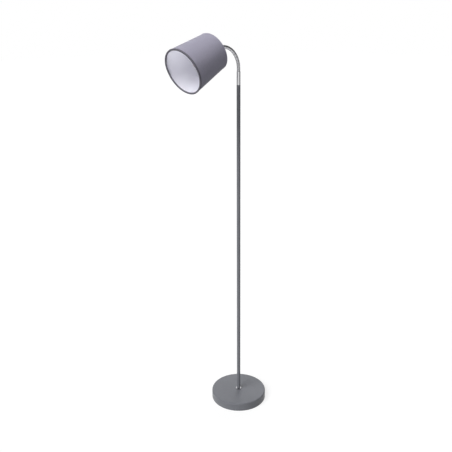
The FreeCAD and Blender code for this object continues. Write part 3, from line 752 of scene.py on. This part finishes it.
# %% [markdown]
# ## The wound neck
#
# A flexible neck is a tight coil of round steel wire, which keeps any bend by friction. The coil
# follows the neck's line, so a node tree is the natural way: a spiral of height 1 is made first,
# and each of its points is then moved to the place on the path that its height tells. A plain
# core closes the neck between the turns. The tree's inputs are the path's three points, the
# number of turns and the wire's sizes.
#
# The neck has to bend in other poses too. So it is wound in one piece for each link, which rides
# on that link. The pieces meet halfway round each hinge, where a gap of 1 mm leaves room for the
# turns to come together when the neck is straightened. A ball in the gap closes the neck's inside
# and stays round in every pose. The wire's two ends are on the side away from the camera, one on
# each side of the gap.
#
# Where a node has two inputs of one name, they are told apart by their numbers: the trim's inputs
# 4 and 5 are the start and the end as lengths.

# %% The node tree that winds a wire along a path
PATH_STEPS = 16
STEPS_PER_TURN = 28
WIRE_SIDES = 12
CORE_SIDES = 48
CORE_SET_BACK = 0.6 * MM
TRIM_START, TRIM_END = 4, 5
GROWN_EDGE = math.radians(50)


def new_tree(name, kinds):
    """A geometry node tree with named inputs, and the sockets that bring them."""
    tree = bpy.data.node_groups.new(name, "GeometryNodeTree")
    for socket_name, kind in kinds.items():
        tree.interface.new_socket(name=socket_name, in_out="INPUT", socket_type="NodeSocket" + kind)
    tree.interface.new_socket(name="Geometry", in_out="OUTPUT", socket_type="NodeSocketGeometry")
    return tree, new_node(tree, "NodeGroupInput").outputs


def hand_out(tree, geometry, finish):
    """End a tree: make its instances real, give them a material and hand them out."""
    whole = new_node(tree, "GeometryNodeRealizeInstances", {"Geometry": geometry})
    finished = new_node(tree, "GeometryNodeSetMaterial", {
        "Geometry": whole.outputs[0], "Material": finish})
    new_node(tree, "NodeGroupOutput", {"Geometry": finished.outputs[0]})


def swept(tree, curve, radius, sides, capped):
    """A round tube along a curve."""
    edge = new_node(tree, "GeometryNodeCurvePrimitiveCircle", {
        "Resolution": sides, "Radius": radius}, mode="RADIUS")
    return new_node(tree, "GeometryNodeCurveToMesh", {
        "Curve": curve, "Profile Curve": edge.outputs[0], "Fill Caps": capped}).outputs[0]


def make_winding_tree():
    tree, given = new_tree("wound_wire", {
        "Start": "Vector", "Corner": "Vector", "End": "Vector", "Turns": "Float",
        "First Angle": "Float", "Coil Radius": "Float", "Wire Radius": "Float",
        "Core Radius": "Float", "Finish": "Material"})
    path = new_node(tree, "GeometryNodeCurveQuadraticBezier", {
        "Resolution": PATH_STEPS, "Start": given["Start"], "Middle": given["Corner"],
        "End": given["End"]}).outputs[0]
    spiral = new_node(tree, "GeometryNodeCurveSpiral", {
        "Resolution": STEPS_PER_TURN, "Rotations": given["Turns"],
        "Start Radius": given["Coil Radius"], "End Radius": given["Coil Radius"], "Height": 1.0})
    first_turn = new_node(tree, "ShaderNodeCombineXYZ", {"Z": given["First Angle"]})
    coil = new_node(tree, "GeometryNodeTransform", {
        "Geometry": spiral.outputs[0], "Rotation": first_turn.outputs[0]})
    where = new_node(tree, "GeometryNodeInputPosition").outputs["Position"]
    part = new_node(tree, "ShaderNodeSeparateXYZ", {"Vector": where}).outputs
    sample = new_node(tree, "GeometryNodeSampleCurve", {
        "Curves": path, "Factor": part["Z"]}, mode="FACTOR").outputs
    level = vector_math(tree, "CROSS_PRODUCT", (0, 1, 0), sample["Tangent"])["Vector"]
    in_plane = new_node(tree, "ShaderNodeVectorMath", {
        "Vector": level, "Scale": part["X"]}, operation="SCALE").outputs["Vector"]
    out_of_plane = new_node(tree, "ShaderNodeCombineXYZ", {"Y": part["Y"]}).outputs[0]
    beside = vector_math(tree, "ADD", sample["Position"], in_plane)["Vector"]
    laid = new_node(tree, "GeometryNodeSetPosition", {
        "Geometry": coil.outputs[0],
        "Position": vector_math(tree, "ADD", beside, out_of_plane)["Vector"]}).outputs[0]
    wire = swept(tree, laid, given["Wire Radius"], WIRE_SIDES, True)
    length = new_node(tree, "GeometryNodeCurveLength", {"Curve": path}).outputs["Length"]
    core_path = new_node(tree, "GeometryNodeTrimCurve", {
        "Curve": path, TRIM_START: CORE_SET_BACK,
        TRIM_END: calculate(tree, "SUBTRACT", length, CORE_SET_BACK)}, mode="LENGTH")
    core = swept(tree, core_path.outputs[0], given["Core Radius"], CORE_SIDES, False)
    both = new_node(tree, "GeometryNodeJoinGeometry")
    for tube in (wire, core):
        tree.links.new(tube, both.inputs[0])
    hand_out(tree, both.outputs[0], given["Finish"])
    return tree


def grown(name, tree, values):
    """Run a tree with named inputs and return the plain mesh that it makes."""
    holder = new_object(name, bpy.data.meshes.new(name))
    modifier = holder.modifiers.new(name, "NODES")
    modifier.node_group = tree
    for socket in tree.interface.items_tree:
        if socket.in_out == "INPUT":
            modifier[socket.identifier] = values[socket.name]
    evaluated = holder.evaluated_get(bpy.context.evaluated_depsgraph_get())
    mesh = bpy.data.meshes.new_from_object(evaluated)
    empty_mesh = holder.data
    holder.modifiers.clear()
    bpy.data.objects.remove(holder)
    bpy.data.meshes.remove(empty_mesh)
    mesh.name = name
    mesh.shade_smooth()
    mesh.set_sharp_from_angle(angle=GROWN_EDGE)
    return mesh


winding_tree = make_winding_tree()
print("winding tree has", len(winding_tree.nodes), "nodes")

# %% Sizes of the wound neck
TURNS_PER_LINK = 6
NECK_WIRE = 0.90 * MM
HINGE_GAP = 1.0 * MM
CORE_DEPTH = 0.76 * MM
BALL_PLAY = 0.15 * MM
END_TUCK = 1.2 * MM
WIRE_END_ANGLE = math.radians(6)

neck_radius = max(radius for radius, height in measured("neck_foot", ON_FLOOR))
wire_pitch = (link_step - HINGE_GAP) / TURNS_PER_LINK
ball_radius = neck_radius - 2 * NECK_WIRE - BALL_PLAY
coil_sizes = {"Coil Radius": neck_radius - NECK_WIRE, "Wire Radius": NECK_WIRE,
              "Core Radius": neck_radius - CORE_DEPTH, "Finish": neck_steel}
print("links of", round(link_step / MM, 2), "mm, neck radius", round(neck_radius / MM, 2), "mm")

# %% Wind the neck
def neck_stations():
    """Where the pieces of coil meet, with the neck's direction there, from the ferrule up."""
    corners = [pivots[0] - Vector((0, 0, link_step))] + pivots + [pivots[-1] + head_axis * link_step]
    foot_bottom = ends_of("neck_ferrule", ON_FLOOR)[1] - END_TUCK
    stations = [(Vector((0, 0, foot_bottom)), Vector((0, 0, 1)))]
    for before, pivot, after in zip(corners, corners[1:], corners[2:]):
        start = (before + pivot) / 2
        end = (pivot + after) / 2
        stations.append(((start + 2 * pivot + end) / 4, (end - start).normalized()))
    stations.append((pivots[-1] + head_axis * (link_step + END_TUCK), head_axis))
    return stations


def add_ball(mesh, centre):
    """The ball in the gap above a piece of coil."""
    shape = bmesh.new()
    shape.from_mesh(mesh)
    made = bmesh.ops.create_uvsphere(shape, u_segments=32, v_segments=16, radius=ball_radius,
                                     matrix=Matrix.Translation(centre))
    for vertex in made["verts"]:
        for face in vertex.link_faces:
            face.smooth = True
    shape.to_mesh(mesh)
    shape.free()


def neck_coil(name, lower, upper, gap_below, gap_above):
    """One piece of coil between two stations."""
    start = lower[0] + lower[1] * gap_below
    end = upper[0] - upper[1] * gap_above
    corner = intersect_line_line(lower[0], lower[0] + lower[1], upper[0], upper[0] + upper[1])[0]
    whole_turns = round(((corner - start).length + (end - corner).length) / wire_pitch)
    mesh = grown(name, winding_tree, {
        **coil_sizes, "Start": start, "Corner": corner, "End": end,
        "Turns": whole_turns - 2 * WIRE_END_ANGLE / (2 * math.pi),
        "First Angle": math.pi / 2 + WIRE_END_ANGLE})
    if gap_above:
        add_ball(mesh, upper[0])
    return mesh


def make_neck():
    """A piece of coil for each of the neck's bodies."""
    stations = neck_stations()
    links = [f"{number:02d}" for number in range(1, len(pivots))]
    labels = ["foot"] + links + ["tip"]
    bodies = ["neck_base"] + [f"neck_link_{label}" for label in links] + ["head"]
    nodes = ["neck_foot"] + bodies[1:-1] + ["neck_tip"]
    for label, body, node, lower, upper in zip(labels, bodies, nodes, stations, stations[1:]):
        gap_below = 0.0 if label == "foot" else HINGE_GAP / 2
        gap_above = 0.0 if label == "tip" else HINGE_GAP / 2
        coil = neck_coil(f"neck_coil_{label}", lower, upper, gap_below, gap_above)
        add_piece(coil, neck_steel, body, node)
    print(len(labels), "pieces of coil, pitch", round(wire_pitch / MM, 2), "mm, wire",
          round(2 * NECK_WIRE / MM, 2), "mm")


make_neck()

# %% [markdown]
# ## The shade's cloth
#
# The cover is one strip of cloth, cut as part of a flat ring, glued to its lining and closed with
# a lap at the back. So it is built as an open strip that goes round the cone a little more than
# once: where it comes round again, it climbs its own thickness and lies on itself. A Solidify
# modifier then gives it its thickness inward. Cloth on a glued lining is never perfectly round,
# so the strip also waves by a fraction of a millimetre.

# %% Cloth cover
LAP_WIDTH = 12 * MM
LAP_CLIMB = 5 * MM
LAP_ANGLE = math.radians(100)
CLOTH_STEPS = 240
CLOTH_ROWS = 24
CLOTH_WAVE = 0.12 * MM
CLOTH_WAVES = [(5, 2.0, 1.0), (13, -3.0, 0.6)]
LAP_PLAY = 1.02
CLOTH_SHARE = 0.96

cloth_thickness = cloth_outside_wide - cloth_inside_wide
shade_slope = (cloth_outside_wide - cloth_outside_narrow) / (wide_end - narrow_end)
shade_slant = math.dist((cloth_outside_narrow, narrow_end), (cloth_outside_wide, wide_end))
strip_angle = 2 * math.pi + (LAP_CLIMB + LAP_WIDTH) / cloth_outside_wide


def cloth_radius(height):
    return cloth_outside_narrow + (height - narrow_end) * shade_slope


def lap_lift(angle):
    """How far the second layer of the lap lifts what lies over it, at an angle round the shade."""
    past = (angle - LAP_ANGLE) % (2 * math.pi) * cloth_outside_wide
    return cloth_thickness * eased(min(past, LAP_CLIMB + LAP_WIDTH - past) / LAP_CLIMB)


def waved(angle, share):
    """How far the cloth stands off a true cone, at an angle and a share of its length.

    Each of the waves is (how many go round, how far it twists, its strength).
    """
    height = CLOTH_WAVE * math.sin(math.pi * share)
    return height * sum(strength * math.sin(count * angle + twist * share)
                        for count, twist, strength in CLOTH_WAVES)


def cone_place(angle, height, outward):
    reach = cloth_radius(height) + outward
    return ON_HEAD @ Vector((reach * math.cos(angle), reach * math.sin(angle), height))


def make_cloth_cover():
    shape = bmesh.new()
    uv_map = shape.loops.layers.uv.new("cloth")
    columns = []
    for step in range(CLOTH_STEPS + 1):
        turned_by = strip_angle * step / CLOTH_STEPS
        angle = LAP_ANGLE + turned_by
        climb = (turned_by - 2 * math.pi) * cloth_outside_wide / LAP_CLIMB
        lift = LAP_PLAY * cloth_thickness * eased(climb)
        column = []
        for row in range(CLOTH_ROWS + 1):
            share = row / CLOTH_ROWS
            height = narrow_end + (wide_end - narrow_end) * share
            column.append(shape.verts.new(cone_place(angle, height, lift + waved(angle, share))))
        columns.append(column)
    round_shade = strip_angle * cloth_outside_wide
    for step, (near, far) in enumerate(zip(columns, columns[1:])):
        for row in range(CLOTH_ROWS):
            face = shape.faces.new([near[row], far[row], far[row + 1], near[row + 1]])
            face.smooth = True
            corners = [(step, row), (step + 1, row), (step + 1, row + 1), (step, row + 1)]
            for loop, (across, along) in zip(face.loops, corners):
                loop[uv_map].uv = (round_shade * across / CLOTH_STEPS,
                                   shade_slant * along / CLOTH_ROWS)
    mesh = mesh_of("shade_cloth", shape)
    cover = add_piece(mesh, grey_cloth, "head", "shade_fabric")
    add_thickness(cover, CLOTH_SHARE * cloth_thickness)
    return cover


def add_thickness(piece, thickness):
    """Give a sheet its thickness on its back."""
    thick = piece.modifiers.new("thickness", "SOLIDIFY")
    thick.thickness = thickness
    thick.offset = -1.0


shade_cloth = make_cloth_cover()
print("cloth is", round(shade_slant / MM, 1), "mm from hem to hem")

# %% [markdown]
# ## Folded edges
#
# Each rim of the shade is closed with a strip that starts outside, goes over the edge, wraps the
# wire ring inside and tucks in behind it. Seen on its edge the strip is a line of one thickness,
# so it is drawn as a line, thickened and turned. At the wide end the strip is coloured darker than
# the cloth, which paints the shade that falls on the rim, and at the narrow end it is the cover's
# own cloth. Both strips rise over the lap at the back.

# %% Hems
TAPE_THICKNESS = 0.55 * MM
TAPE_SLACK = 0.08 * MM
HEM_WIDTH = 5 * MM
HEM_OUTSIDE = [(HEM_WIDTH, -0.1 * MM), (3.5 * MM, 0.0), (1.5 * MM, 0.05 * MM)]  # from the rim, out
RIM_ROUNDING = 0.4 * MM
RIM_STEPS = 6
RING_WIRE = 3 * MM
RING_CLEARANCE = 0.8 * MM
WRAP_START_DEGREES = 80
WRAP_TURN_DEGREES = 160
WRAP_STEPS = 11
TUCK_PAST_HEM = 0.3 * MM
TUCK_START = (1.2 * MM, 0.9 * MM)  # inside the lining, before the tuck


def hem_line(rim, inward, lining_inside):
    """Points of the strip, from its outer edge over the rim and round the wire to its tuck."""
    half = TAPE_THICKNESS / 2
    outside = TAPE_SLACK + half
    line = []
    for from_rim, raised in HEM_OUTSIDE:
        level = rim + inward * from_rim
        line.append((cloth_radius(level) + outside + raised, level))
    for step in range(RIM_STEPS + 1):
        turn = math.radians(90 * step / RIM_STEPS)
        line.append((cloth_radius(rim) - RIM_ROUNDING + (RIM_ROUNDING + outside) * math.cos(turn),
                     rim - inward * outside * math.sin(turn)))
    wire = RING_WIRE / 2
    wire_radius = lining_inside - RING_CLEARANCE - wire
    wire_height = rim + inward * wire
    wrap = wire + outside
    for step in range(WRAP_STEPS + 1):
        turn = math.radians(WRAP_START_DEGREES + WRAP_TURN_DEGREES * step / WRAP_STEPS)
        line.append((wire_radius + wrap * math.cos(turn), wire_height - inward * wrap * math.sin(turn)))
    tuck = rim + inward * (HEM_WIDTH + TUCK_PAST_HEM)
    line.append((lining_inside - TUCK_START[0], tuck - inward * TUCK_START[1]))
    line.append((lining_inside - outside, tuck))
    return line


def make_hem(name, node, rim, inward, material):
    lining_inside = radii_at("shade_lining", ON_HEAD, rim)[0]
    outline = thicken(hem_line(rim, inward, lining_inside), TAPE_THICKNESS)

    def over_the_lap(angle, radius):
        share = (radius - lining_inside) / (cloth_radius(rim) - lining_inside)
        return lap_lift(angle) * min(max(share, 0.0), 1.0)

    mesh = turned_mesh(name, outline, ON_HEAD, CLOTH_STEPS, over_the_lap)
    return add_piece(mesh, material, "head", node)


opening_tape = make_hem("shade_opening_tape", "opening_hem", wide_end, -1, hem_tape)
narrow_fold = make_hem("shade_narrow_fold", "narrow_hem", narrow_end, 1, grey_cloth)


# %% [markdown]
# ## Lining lap
#
# The lining film closes with a narrow lap too, beside the cloth's.

# %% Lap of the lining
FILM_LAP_ANGLE = math.radians(118)
FILM_LAP_HALF_WIDTH = 6 * MM
FILM_LAP_END_ROOM = 6 * MM
FILM_LAP_LIFT = 0.3 * MM
FILM_LAP_SLOPE = 6
FILM_PLAY = 0.02 * MM
FILM_THICKNESS = 0.05 * MM
FILM_ROWS = 12
FILM_STEPS = 8


def make_lining_lap():
    """A thin strip along the lining, curved with it."""
    shape = bmesh.new()
    low, high = narrow_end + FILM_LAP_END_ROOM, wide_end - FILM_LAP_END_ROOM
    inset = cloth_outside_wide - radii_at("shade_lining", ON_HEAD, wide_end)[0]
    rows = []
    for row in range(FILM_ROWS + 1):
        height = low + (high - low) * row / FILM_ROWS
        inside = cloth_radius(height) - inset
        ring = []
        for step in range(FILM_STEPS + 1):
            share = step / FILM_STEPS
            angle = FILM_LAP_ANGLE + (2 * share - 1) * FILM_LAP_HALF_WIDTH / inside
            lift = FILM_LAP_LIFT * min(1.0, FILM_LAP_SLOPE * share, FILM_LAP_SLOPE * (1 - share))
            ring.append(shape.verts.new(cone_place(angle, height, -inset - lift - FILM_PLAY)))
        rows.append(ring)
    for lower, upper in zip(rows, rows[1:]):
        for step in range(FILM_STEPS):
            corners = [lower[step + 1], lower[step], upper[step], upper[step + 1]]
            shape.faces.new(corners).smooth = True
    lap = add_piece(mesh_of("lining_lap", shape), white_lining, "head")
    add_thickness(lap, FILM_THICKNESS)


make_lining_lap()
print("lining lap laid")

# %% [markdown]
# ## Wire frame of the shade
#
# A ring of wire at the narrow end carries three arms, which run down to a flat ring on the
# lampholder. Bent wire is drawn as a curve with a round bevel. Each arm runs into the ring and
# into the flat ring, with a weld bead at both ends. All of it is lacquered white.

# %% Wire frame
ARM_COUNT = 3
ARM_WIRE = 2.5 * MM
PLATE_THICKNESS = 1.5 * MM
PLATE_WIDTH = 6.5 * MM
PLATE_PLAY = 0.3 * MM
PLATE_ROUNDING = 0.4 * MM
ARM_ON_PLATE = (-2.6 * MM, 0.8 * MM)  # past the plate's edge
ARM_SAG = (0.12, 0.02)  # out and down, as shares of the arm's reach
ARM_AT_RING = [(-5 * MM, 0.4 * MM), (-1.5 * MM, 0.0), (0.2 * MM, 0.0)]  # past the ring, above it
WELD_RADIUS = 1.9 * MM
WELD_FLATNESS = 0.72
WELD_ON_RING = -1.6 * MM
WELD_ON_PLATE = -1.0 * MM


def wire_mesh(name, points):
    """A bent wire through points of the head, as a mesh."""
    curve = bpy.data.curves.new(name, "CURVE")
    curve.dimensions = "3D"
    curve.bevel_depth = ARM_WIRE / 2
    curve.bevel_resolution = 4
    curve.use_fill_caps = True
    spline = curve.splines.new("NURBS")
    spline.points.add(len(points) - 1)
    for point, place in zip(spline.points, points):
        point.co = (*place, 1.0)
    spline.use_endpoint_u = True
    spline.order_u = 3
    spline.resolution_u = 8
    holder = new_object(name, curve)
    mesh = bpy.data.meshes.new_from_object(holder.evaluated_get(bpy.context.evaluated_depsgraph_get()))
    bpy.data.objects.remove(holder)
    mesh.transform(ON_HEAD)
    mesh.shade_smooth()
    return mesh


def joined(name, meshes):
    """One mesh from several, with their doubles left apart."""
    whole = bmesh.new()
    for mesh in meshes:
        whole.from_mesh(mesh)
    return mesh_of(name, whole)


def weld(centre):
    """A small flat bead of metal."""
    shape = bmesh.new()
    bmesh.ops.create_icosphere(shape, subdivisions=2, radius=WELD_RADIUS)
    for vertex in shape.verts:
        vertex.co = centre + Vector((vertex.co.x, vertex.co.y, vertex.co.z * WELD_FLATNESS))
    mesh = mesh_of("weld", shape)
    mesh.transform(ON_HEAD)
    mesh.shade_smooth()
    return mesh


def round_outline(radius, height, wire, steps=12):
    return [(radius + wire * math.cos(2 * math.pi * step / steps),
             height + wire * math.sin(2 * math.pi * step / steps)) for step in range(steps)]


def make_wire_frame():
    lining_inside = radii_at("shade_lining", ON_HEAD, narrow_end)[0]
    ring_radius = lining_inside - RING_CLEARANCE - RING_WIRE / 2
    ring_height = narrow_end + RING_WIRE / 2
    plate_top = ends_of("shade_clamp_ring", ON_HEAD)[0]
    plate_bottom = plate_top - PLATE_THICKNESS
    holder_end = ends_of("holder_body", ON_HEAD)[1]
    plate_inside = radii_at("holder_body", ON_HEAD, holder_end)[1] + PLATE_PLAY
    plate_outside = plate_inside + PLATE_WIDTH
    plate = soften([(plate_inside, plate_bottom), (plate_outside, plate_bottom),
                    (plate_outside, plate_top), (plate_inside, plate_top)], PLATE_ROUNDING, 3)
    ring = round_outline(ring_radius, ring_height, RING_WIRE / 2)
    parts = [turned_mesh("frame_ring", ring, ON_HEAD), turned_mesh("frame_plate", plate, ON_HEAD, 64)]
    middle = (plate_top + plate_bottom) / 2
    reach = ring_radius - plate_outside
    arm = [(plate_outside + past, 0, middle) for past in ARM_ON_PLATE]
    arm += [(plate_outside + ARM_SAG[0] * reach, 0, middle - ARM_SAG[1] * reach),
            (plate_outside + reach / 2, 0, middle + (ring_height - middle) / 2)]
    arm += [(ring_radius + past, 0, ring_height + above) for past, above in ARM_AT_RING]
    welds = [(ring_radius + WELD_ON_RING, 0, ring_height), (plate_outside + WELD_ON_PLATE, 0, middle)]
    for number in range(ARM_COUNT):
        turn = Matrix.Rotation(2 * math.pi * number / ARM_COUNT, 3, "Z")
        parts.append(wire_mesh("frame_arm", [turn @ Vector(point) for point in arm]))
        parts += [weld(turn @ Vector(place)) for place in welds]
    add_piece(joined("shade_wire_frame", parts), white_wire, "head", "shade_spider")


make_wire_frame()
print("wire frame with", ARM_COUNT, "arms")

# %% [markdown]
# ## Lampholder and clamp ring
#
# The lampholder's body has a coarse rolled thread outside, on which the clamp ring turns to hold
# the shade. The body is turned, so the thread's crests are rounds of its outline. The clamp ring
# has grips all round, which are one small ridge placed many times, so they come from a tree of
# their own.

# %% The node tree that sets ridges round a ring
GRIP_SIDES = 14


def make_grip_tree():
    tree, given = new_tree("grip_ring", {
        "Count": "Int", "Ring Radius": "Float", "Ridge Radius": "Float",
        "Ridge Length": "Float", "Level": "Float", "Finish": "Material"})
    places = new_node(tree, "GeometryNodeMeshCircle", {
        "Vertices": given["Count"], "Radius": given["Ring Radius"]})
    ridge = new_node(tree, "GeometryNodeMeshCylinder", {
        "Vertices": GRIP_SIDES, "Radius": given["Ridge Radius"], "Depth": given["Ridge Length"]})
    ridges = new_node(tree, "GeometryNodeInstanceOnPoints", {
        "Points": places.outputs[0], "Instance": ridge.outputs[0]})
    height = new_node(tree, "ShaderNodeCombineXYZ", {"Z": given["Level"]})
    lifted = new_node(tree, "GeometryNodeTransform", {
        "Geometry": ridges.outputs[0], "Translation": height.outputs[0]})
    hand_out(tree, lifted.outputs[0], given["Finish"])
    return tree


grip_tree = make_grip_tree()
print("grip tree has", len(grip_tree.nodes), "nodes")

# %% Clamp ring and lampholder body
GRIP_COUNT = 36
GRIP_RADIUS = 0.55 * MM
GRIP_ROOM = 2.4 * MM
GRIP_DROP = 0.4 * MM
RING_INSET = 0.35 * MM
RING_SLOPE = (2.0 * MM, 1.2 * MM)  # inward, down
RING_ROUNDING = 0.6 * MM
THREAD_TURNS = 9
THREAD_STEPS = 8
THREAD_DEPTH = 0.7 * MM
THREAD_ROOM = (2.5 * MM, 2.0 * MM)  # before the thread, after it
HOLDER_CHAMFER = 0.4 * MM


def make_clamp_ring():
    low, high = ends_of("shade_clamp_ring", ON_HEAD)
    inside, outside = radii_at("shade_clamp_ring", ON_HEAD, low)
    side = outside - RING_INSET
    outline = soften([(inside, low), (side, low), (side, high - RING_SLOPE[1]),
                      (outside - RING_SLOPE[0], high), (inside, high)], RING_ROUNDING, 4)
    ring = turned_mesh("clamp_ring_body", outline, ON_HEAD, 96)
    grips = grown("clamp_ring_grips", grip_tree, {
        "Count": GRIP_COUNT, "Ring Radius": outside - GRIP_RADIUS, "Ridge Radius": GRIP_RADIUS,
        "Ridge Length": high - low - GRIP_ROOM, "Level": (low + high) / 2 - GRIP_DROP,
        "Finish": white_moulding})
    grips.transform(ON_HEAD)
    clamp = joined("clamp_ring", [ring, grips])
    add_piece(clamp, white_moulding, "head", "shade_clamp_ring")


def make_holder_body():
    low, high = ends_of("holder_body", ON_HEAD)
    bore, outside = radii_at("holder_body", ON_HEAD, high)
    tail = radii_at("holder_body", ON_HEAD, low)[1]
    shoulder = ends_of("holder_cap", ON_HEAD)[1]
    root = outside - THREAD_DEPTH
    first, last = shoulder + THREAD_ROOM[0], high - THREAD_ROOM[1]
    outline = [(bore, low), (tail, low), (tail, shoulder), (root, shoulder)]
    for step in range(THREAD_STEPS * THREAD_TURNS + 1):
        turns = step / THREAD_STEPS
        depth = THREAD_DEPTH * (0.5 + 0.5 * math.cos(2 * math.pi * turns))
        outline.append((outside - depth, first + (last - first) * turns / THREAD_TURNS))
    outline += [(root, high - HOLDER_CHAMFER), (root - HOLDER_CHAMFER, high), (bore, high)]
    barrel = turned_mesh("holder_barrel", outline, ON_HEAD, 96)
    add_piece(barrel, white_moulding, "head", "holder_body")


make_clamp_ring()
make_holder_body()
print(GRIP_COUNT, "grips and", THREAD_TURNS, "threads")

# %% [markdown]
# ## Bulb
#
# The bulb is a small opal globe on a white collar. Its outline is one smooth line: a quarter
# circle for the tip, on round the widest part, and in to the collar.

# %% Bulb
DOME_STEPS = 28
FLARE_STEPS = 12
COLLAR_STRAIGHT = 1.5 * MM
COLLAR_INSET = 0.1 * MM
COLLAR_EDGE = 0.6 * MM
COLLAR_TOP = [(0.15 * MM, 0.2 * MM), (0.5 * MM, 0.05 * MM)]  # inward, below the seam


def make_bulb():
    seam, tip = ends_of("bulb_globe", ON_HEAD)
    mouth = ends_of("bulb_body", ON_HEAD)[0]
    globe = max(radius for radius, height in measured("bulb_globe", ON_HEAD))
    centre = tip - globe
    half_angle = math.acos((seam - centre) / globe)
    dome = []
    for step in range(DOME_STEPS + 1):
        angle = half_angle * step / DOME_STEPS
        dome.append((globe * math.sin(angle), centre + globe * math.cos(angle)))
    glass = turned_mesh("bulb_glass", dome + [(0, seam)], ON_HEAD, 96, closed=False)
    add_piece(glass, opal, "head", "bulb_globe")
    wide, neck = dome[-1][0], radii_at("bulb_body", ON_HEAD, mouth)[1]
    flare_start, flare_end = mouth + COLLAR_STRAIGHT, seam - COLLAR_EDGE
    collar = [(0, mouth), (neck, mouth), (neck, flare_start)]
    for step in range(1, FLARE_STEPS + 1):
        share = step / FLARE_STEPS
        collar.append((neck + (wide - COLLAR_INSET - neck) * eased(share),
                       flare_start + (flare_end - flare_start) * share))
    collar += [(wide - inward, seam - below) for inward, below in COLLAR_TOP]
    collar.append((0, seam - COLLAR_TOP[-1][1]))
    skirt = turned_mesh("bulb_collar", collar, ON_HEAD, 96, closed=False)
    add_piece(skirt, white_moulding, "head", "bulb_body")
    print("bulb globe", round(2 * globe / MM, 1), "mm")


make_bulb()

# %% [markdown]
# ## Grub screw
#
# A small screw in the back of the ferrule rides in a groove of the plug inside. It has a
# hexagon socket. The screw is built ring by ring, and where its hollow is, the radius follows
# the six flats of the key.

# %% Grub screw
SCREW_SIDES = 24
SCREW_CHAMFER = 0.25 * MM
KEY_RADIUS = 0.75 * MM
KEY_DEPTH = 0.9 * MM
HALF_FLAT = math.pi / 6


def make_grub_screw():
    low, high = ends_of("ferrule_set_screw", ON_FLOOR)
    box_low, box_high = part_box("ferrule_set_screw")
    radius, middle = (high - low) / 2, (high + low) / 2
    place = Matrix.Translation((box_high[0], 0, middle)) @ Matrix.Rotation(math.radians(90), 4, "Y")
    levels = [(radius, box_low[0] - box_high[0]), (radius, -SCREW_CHAMFER),
              (radius - SCREW_CHAMFER, 0), (KEY_RADIUS, 0), (KEY_RADIUS, -KEY_DEPTH)]
    shape = bmesh.new()
    rings = []
    for reach, height in levels:
        ring = []
        for step in range(SCREW_SIDES):
            angle = 2 * math.pi * step / SCREW_SIDES
            from_flat = (angle + HALF_FLAT) % (2 * HALF_FLAT) - HALF_FLAT
            hexagon = math.cos(HALF_FLAT) / math.cos(from_flat) if reach == KEY_RADIUS else 1.0
            ring.append(shape.verts.new(place @ Vector((
                reach * hexagon * math.cos(angle), reach * hexagon * math.sin(angle), height))))
        rings.append(ring)
    for lower, upper in zip(rings, rings[1:]):
        for step in range(SCREW_SIDES):
            after = (step + 1) % SCREW_SIDES
            shape.faces.new([lower[step], lower[after], upper[after], upper[step]])
    shape.faces.new(rings[0][::-1])
    shape.faces.new(rings[-1])
    bmesh.ops.recalc_face_normals(shape, faces=shape.faces)
    mesh = mesh_of("ferrule_grub_screw", shape)
    add_piece(mesh, zinc_steel, "neck_base", "ferrule_set_screw")
    print("grub screw", round(2 * radius / MM, 1), "mm")


make_grub_screw()

# %% [markdown]
# ## The low lamp
#
# In the picture the inside of the shade is evenly bright. A real shade gets some of that light
# through its own thin wall, and the rest from a reflector low in front of it. One soft lamp in
# front of the opening stands for both. It is linked to the pieces inside the shade, so it changes
# nothing on the outside of the lamp or on the floor.

# %% Light the inside of the shade
LOW_LAMP_DISTANCE = 1.0
LOW_LAMP_DROP = 0.8
LOW_LAMP_SIZE = 1.4
LOW_LAMP_WATTS = 36.0
INSIDE_PIECES = ("shade_lining", "shade_opening_ring", "holder_core", "lining_lap", "shade_wire_frame",
                 "clamp_ring", "holder_barrel")


def make_low_lamp():
    data = bpy.data.lights.new("low_lamp", "AREA")
    data.shape = "DISK"
    data.size = LOW_LAMP_SIZE
    data.energy = LOW_LAMP_WATTS
    lamp = new_object("low_lamp", data)
    opening = ON_HEAD @ Vector((0, 0, wide_end))
    place = ON_HEAD @ Vector((0, 0, wide_end + LOW_LAMP_DISTANCE)) - Vector((0, 0, LOW_LAMP_DROP))
    aimed = (place - opening).to_track_quat("Z", "Y").to_matrix().to_4x4()
    lamp.matrix_world = Matrix.Translation(place) @ aimed
    lamp.visible_camera = False
    lamp.visible_glossy = False
    inside = bpy.data.collections.new("inside_the_shade")
    for name in INSIDE_PIECES:
        inside.objects.link(frame["nodes"].get(name) or bpy.data.objects[name])
    lamp.light_linking.receiver_collection = inside


make_low_lamp()
print("low lamp lights", len(INSIDE_PIECES), "pieces")
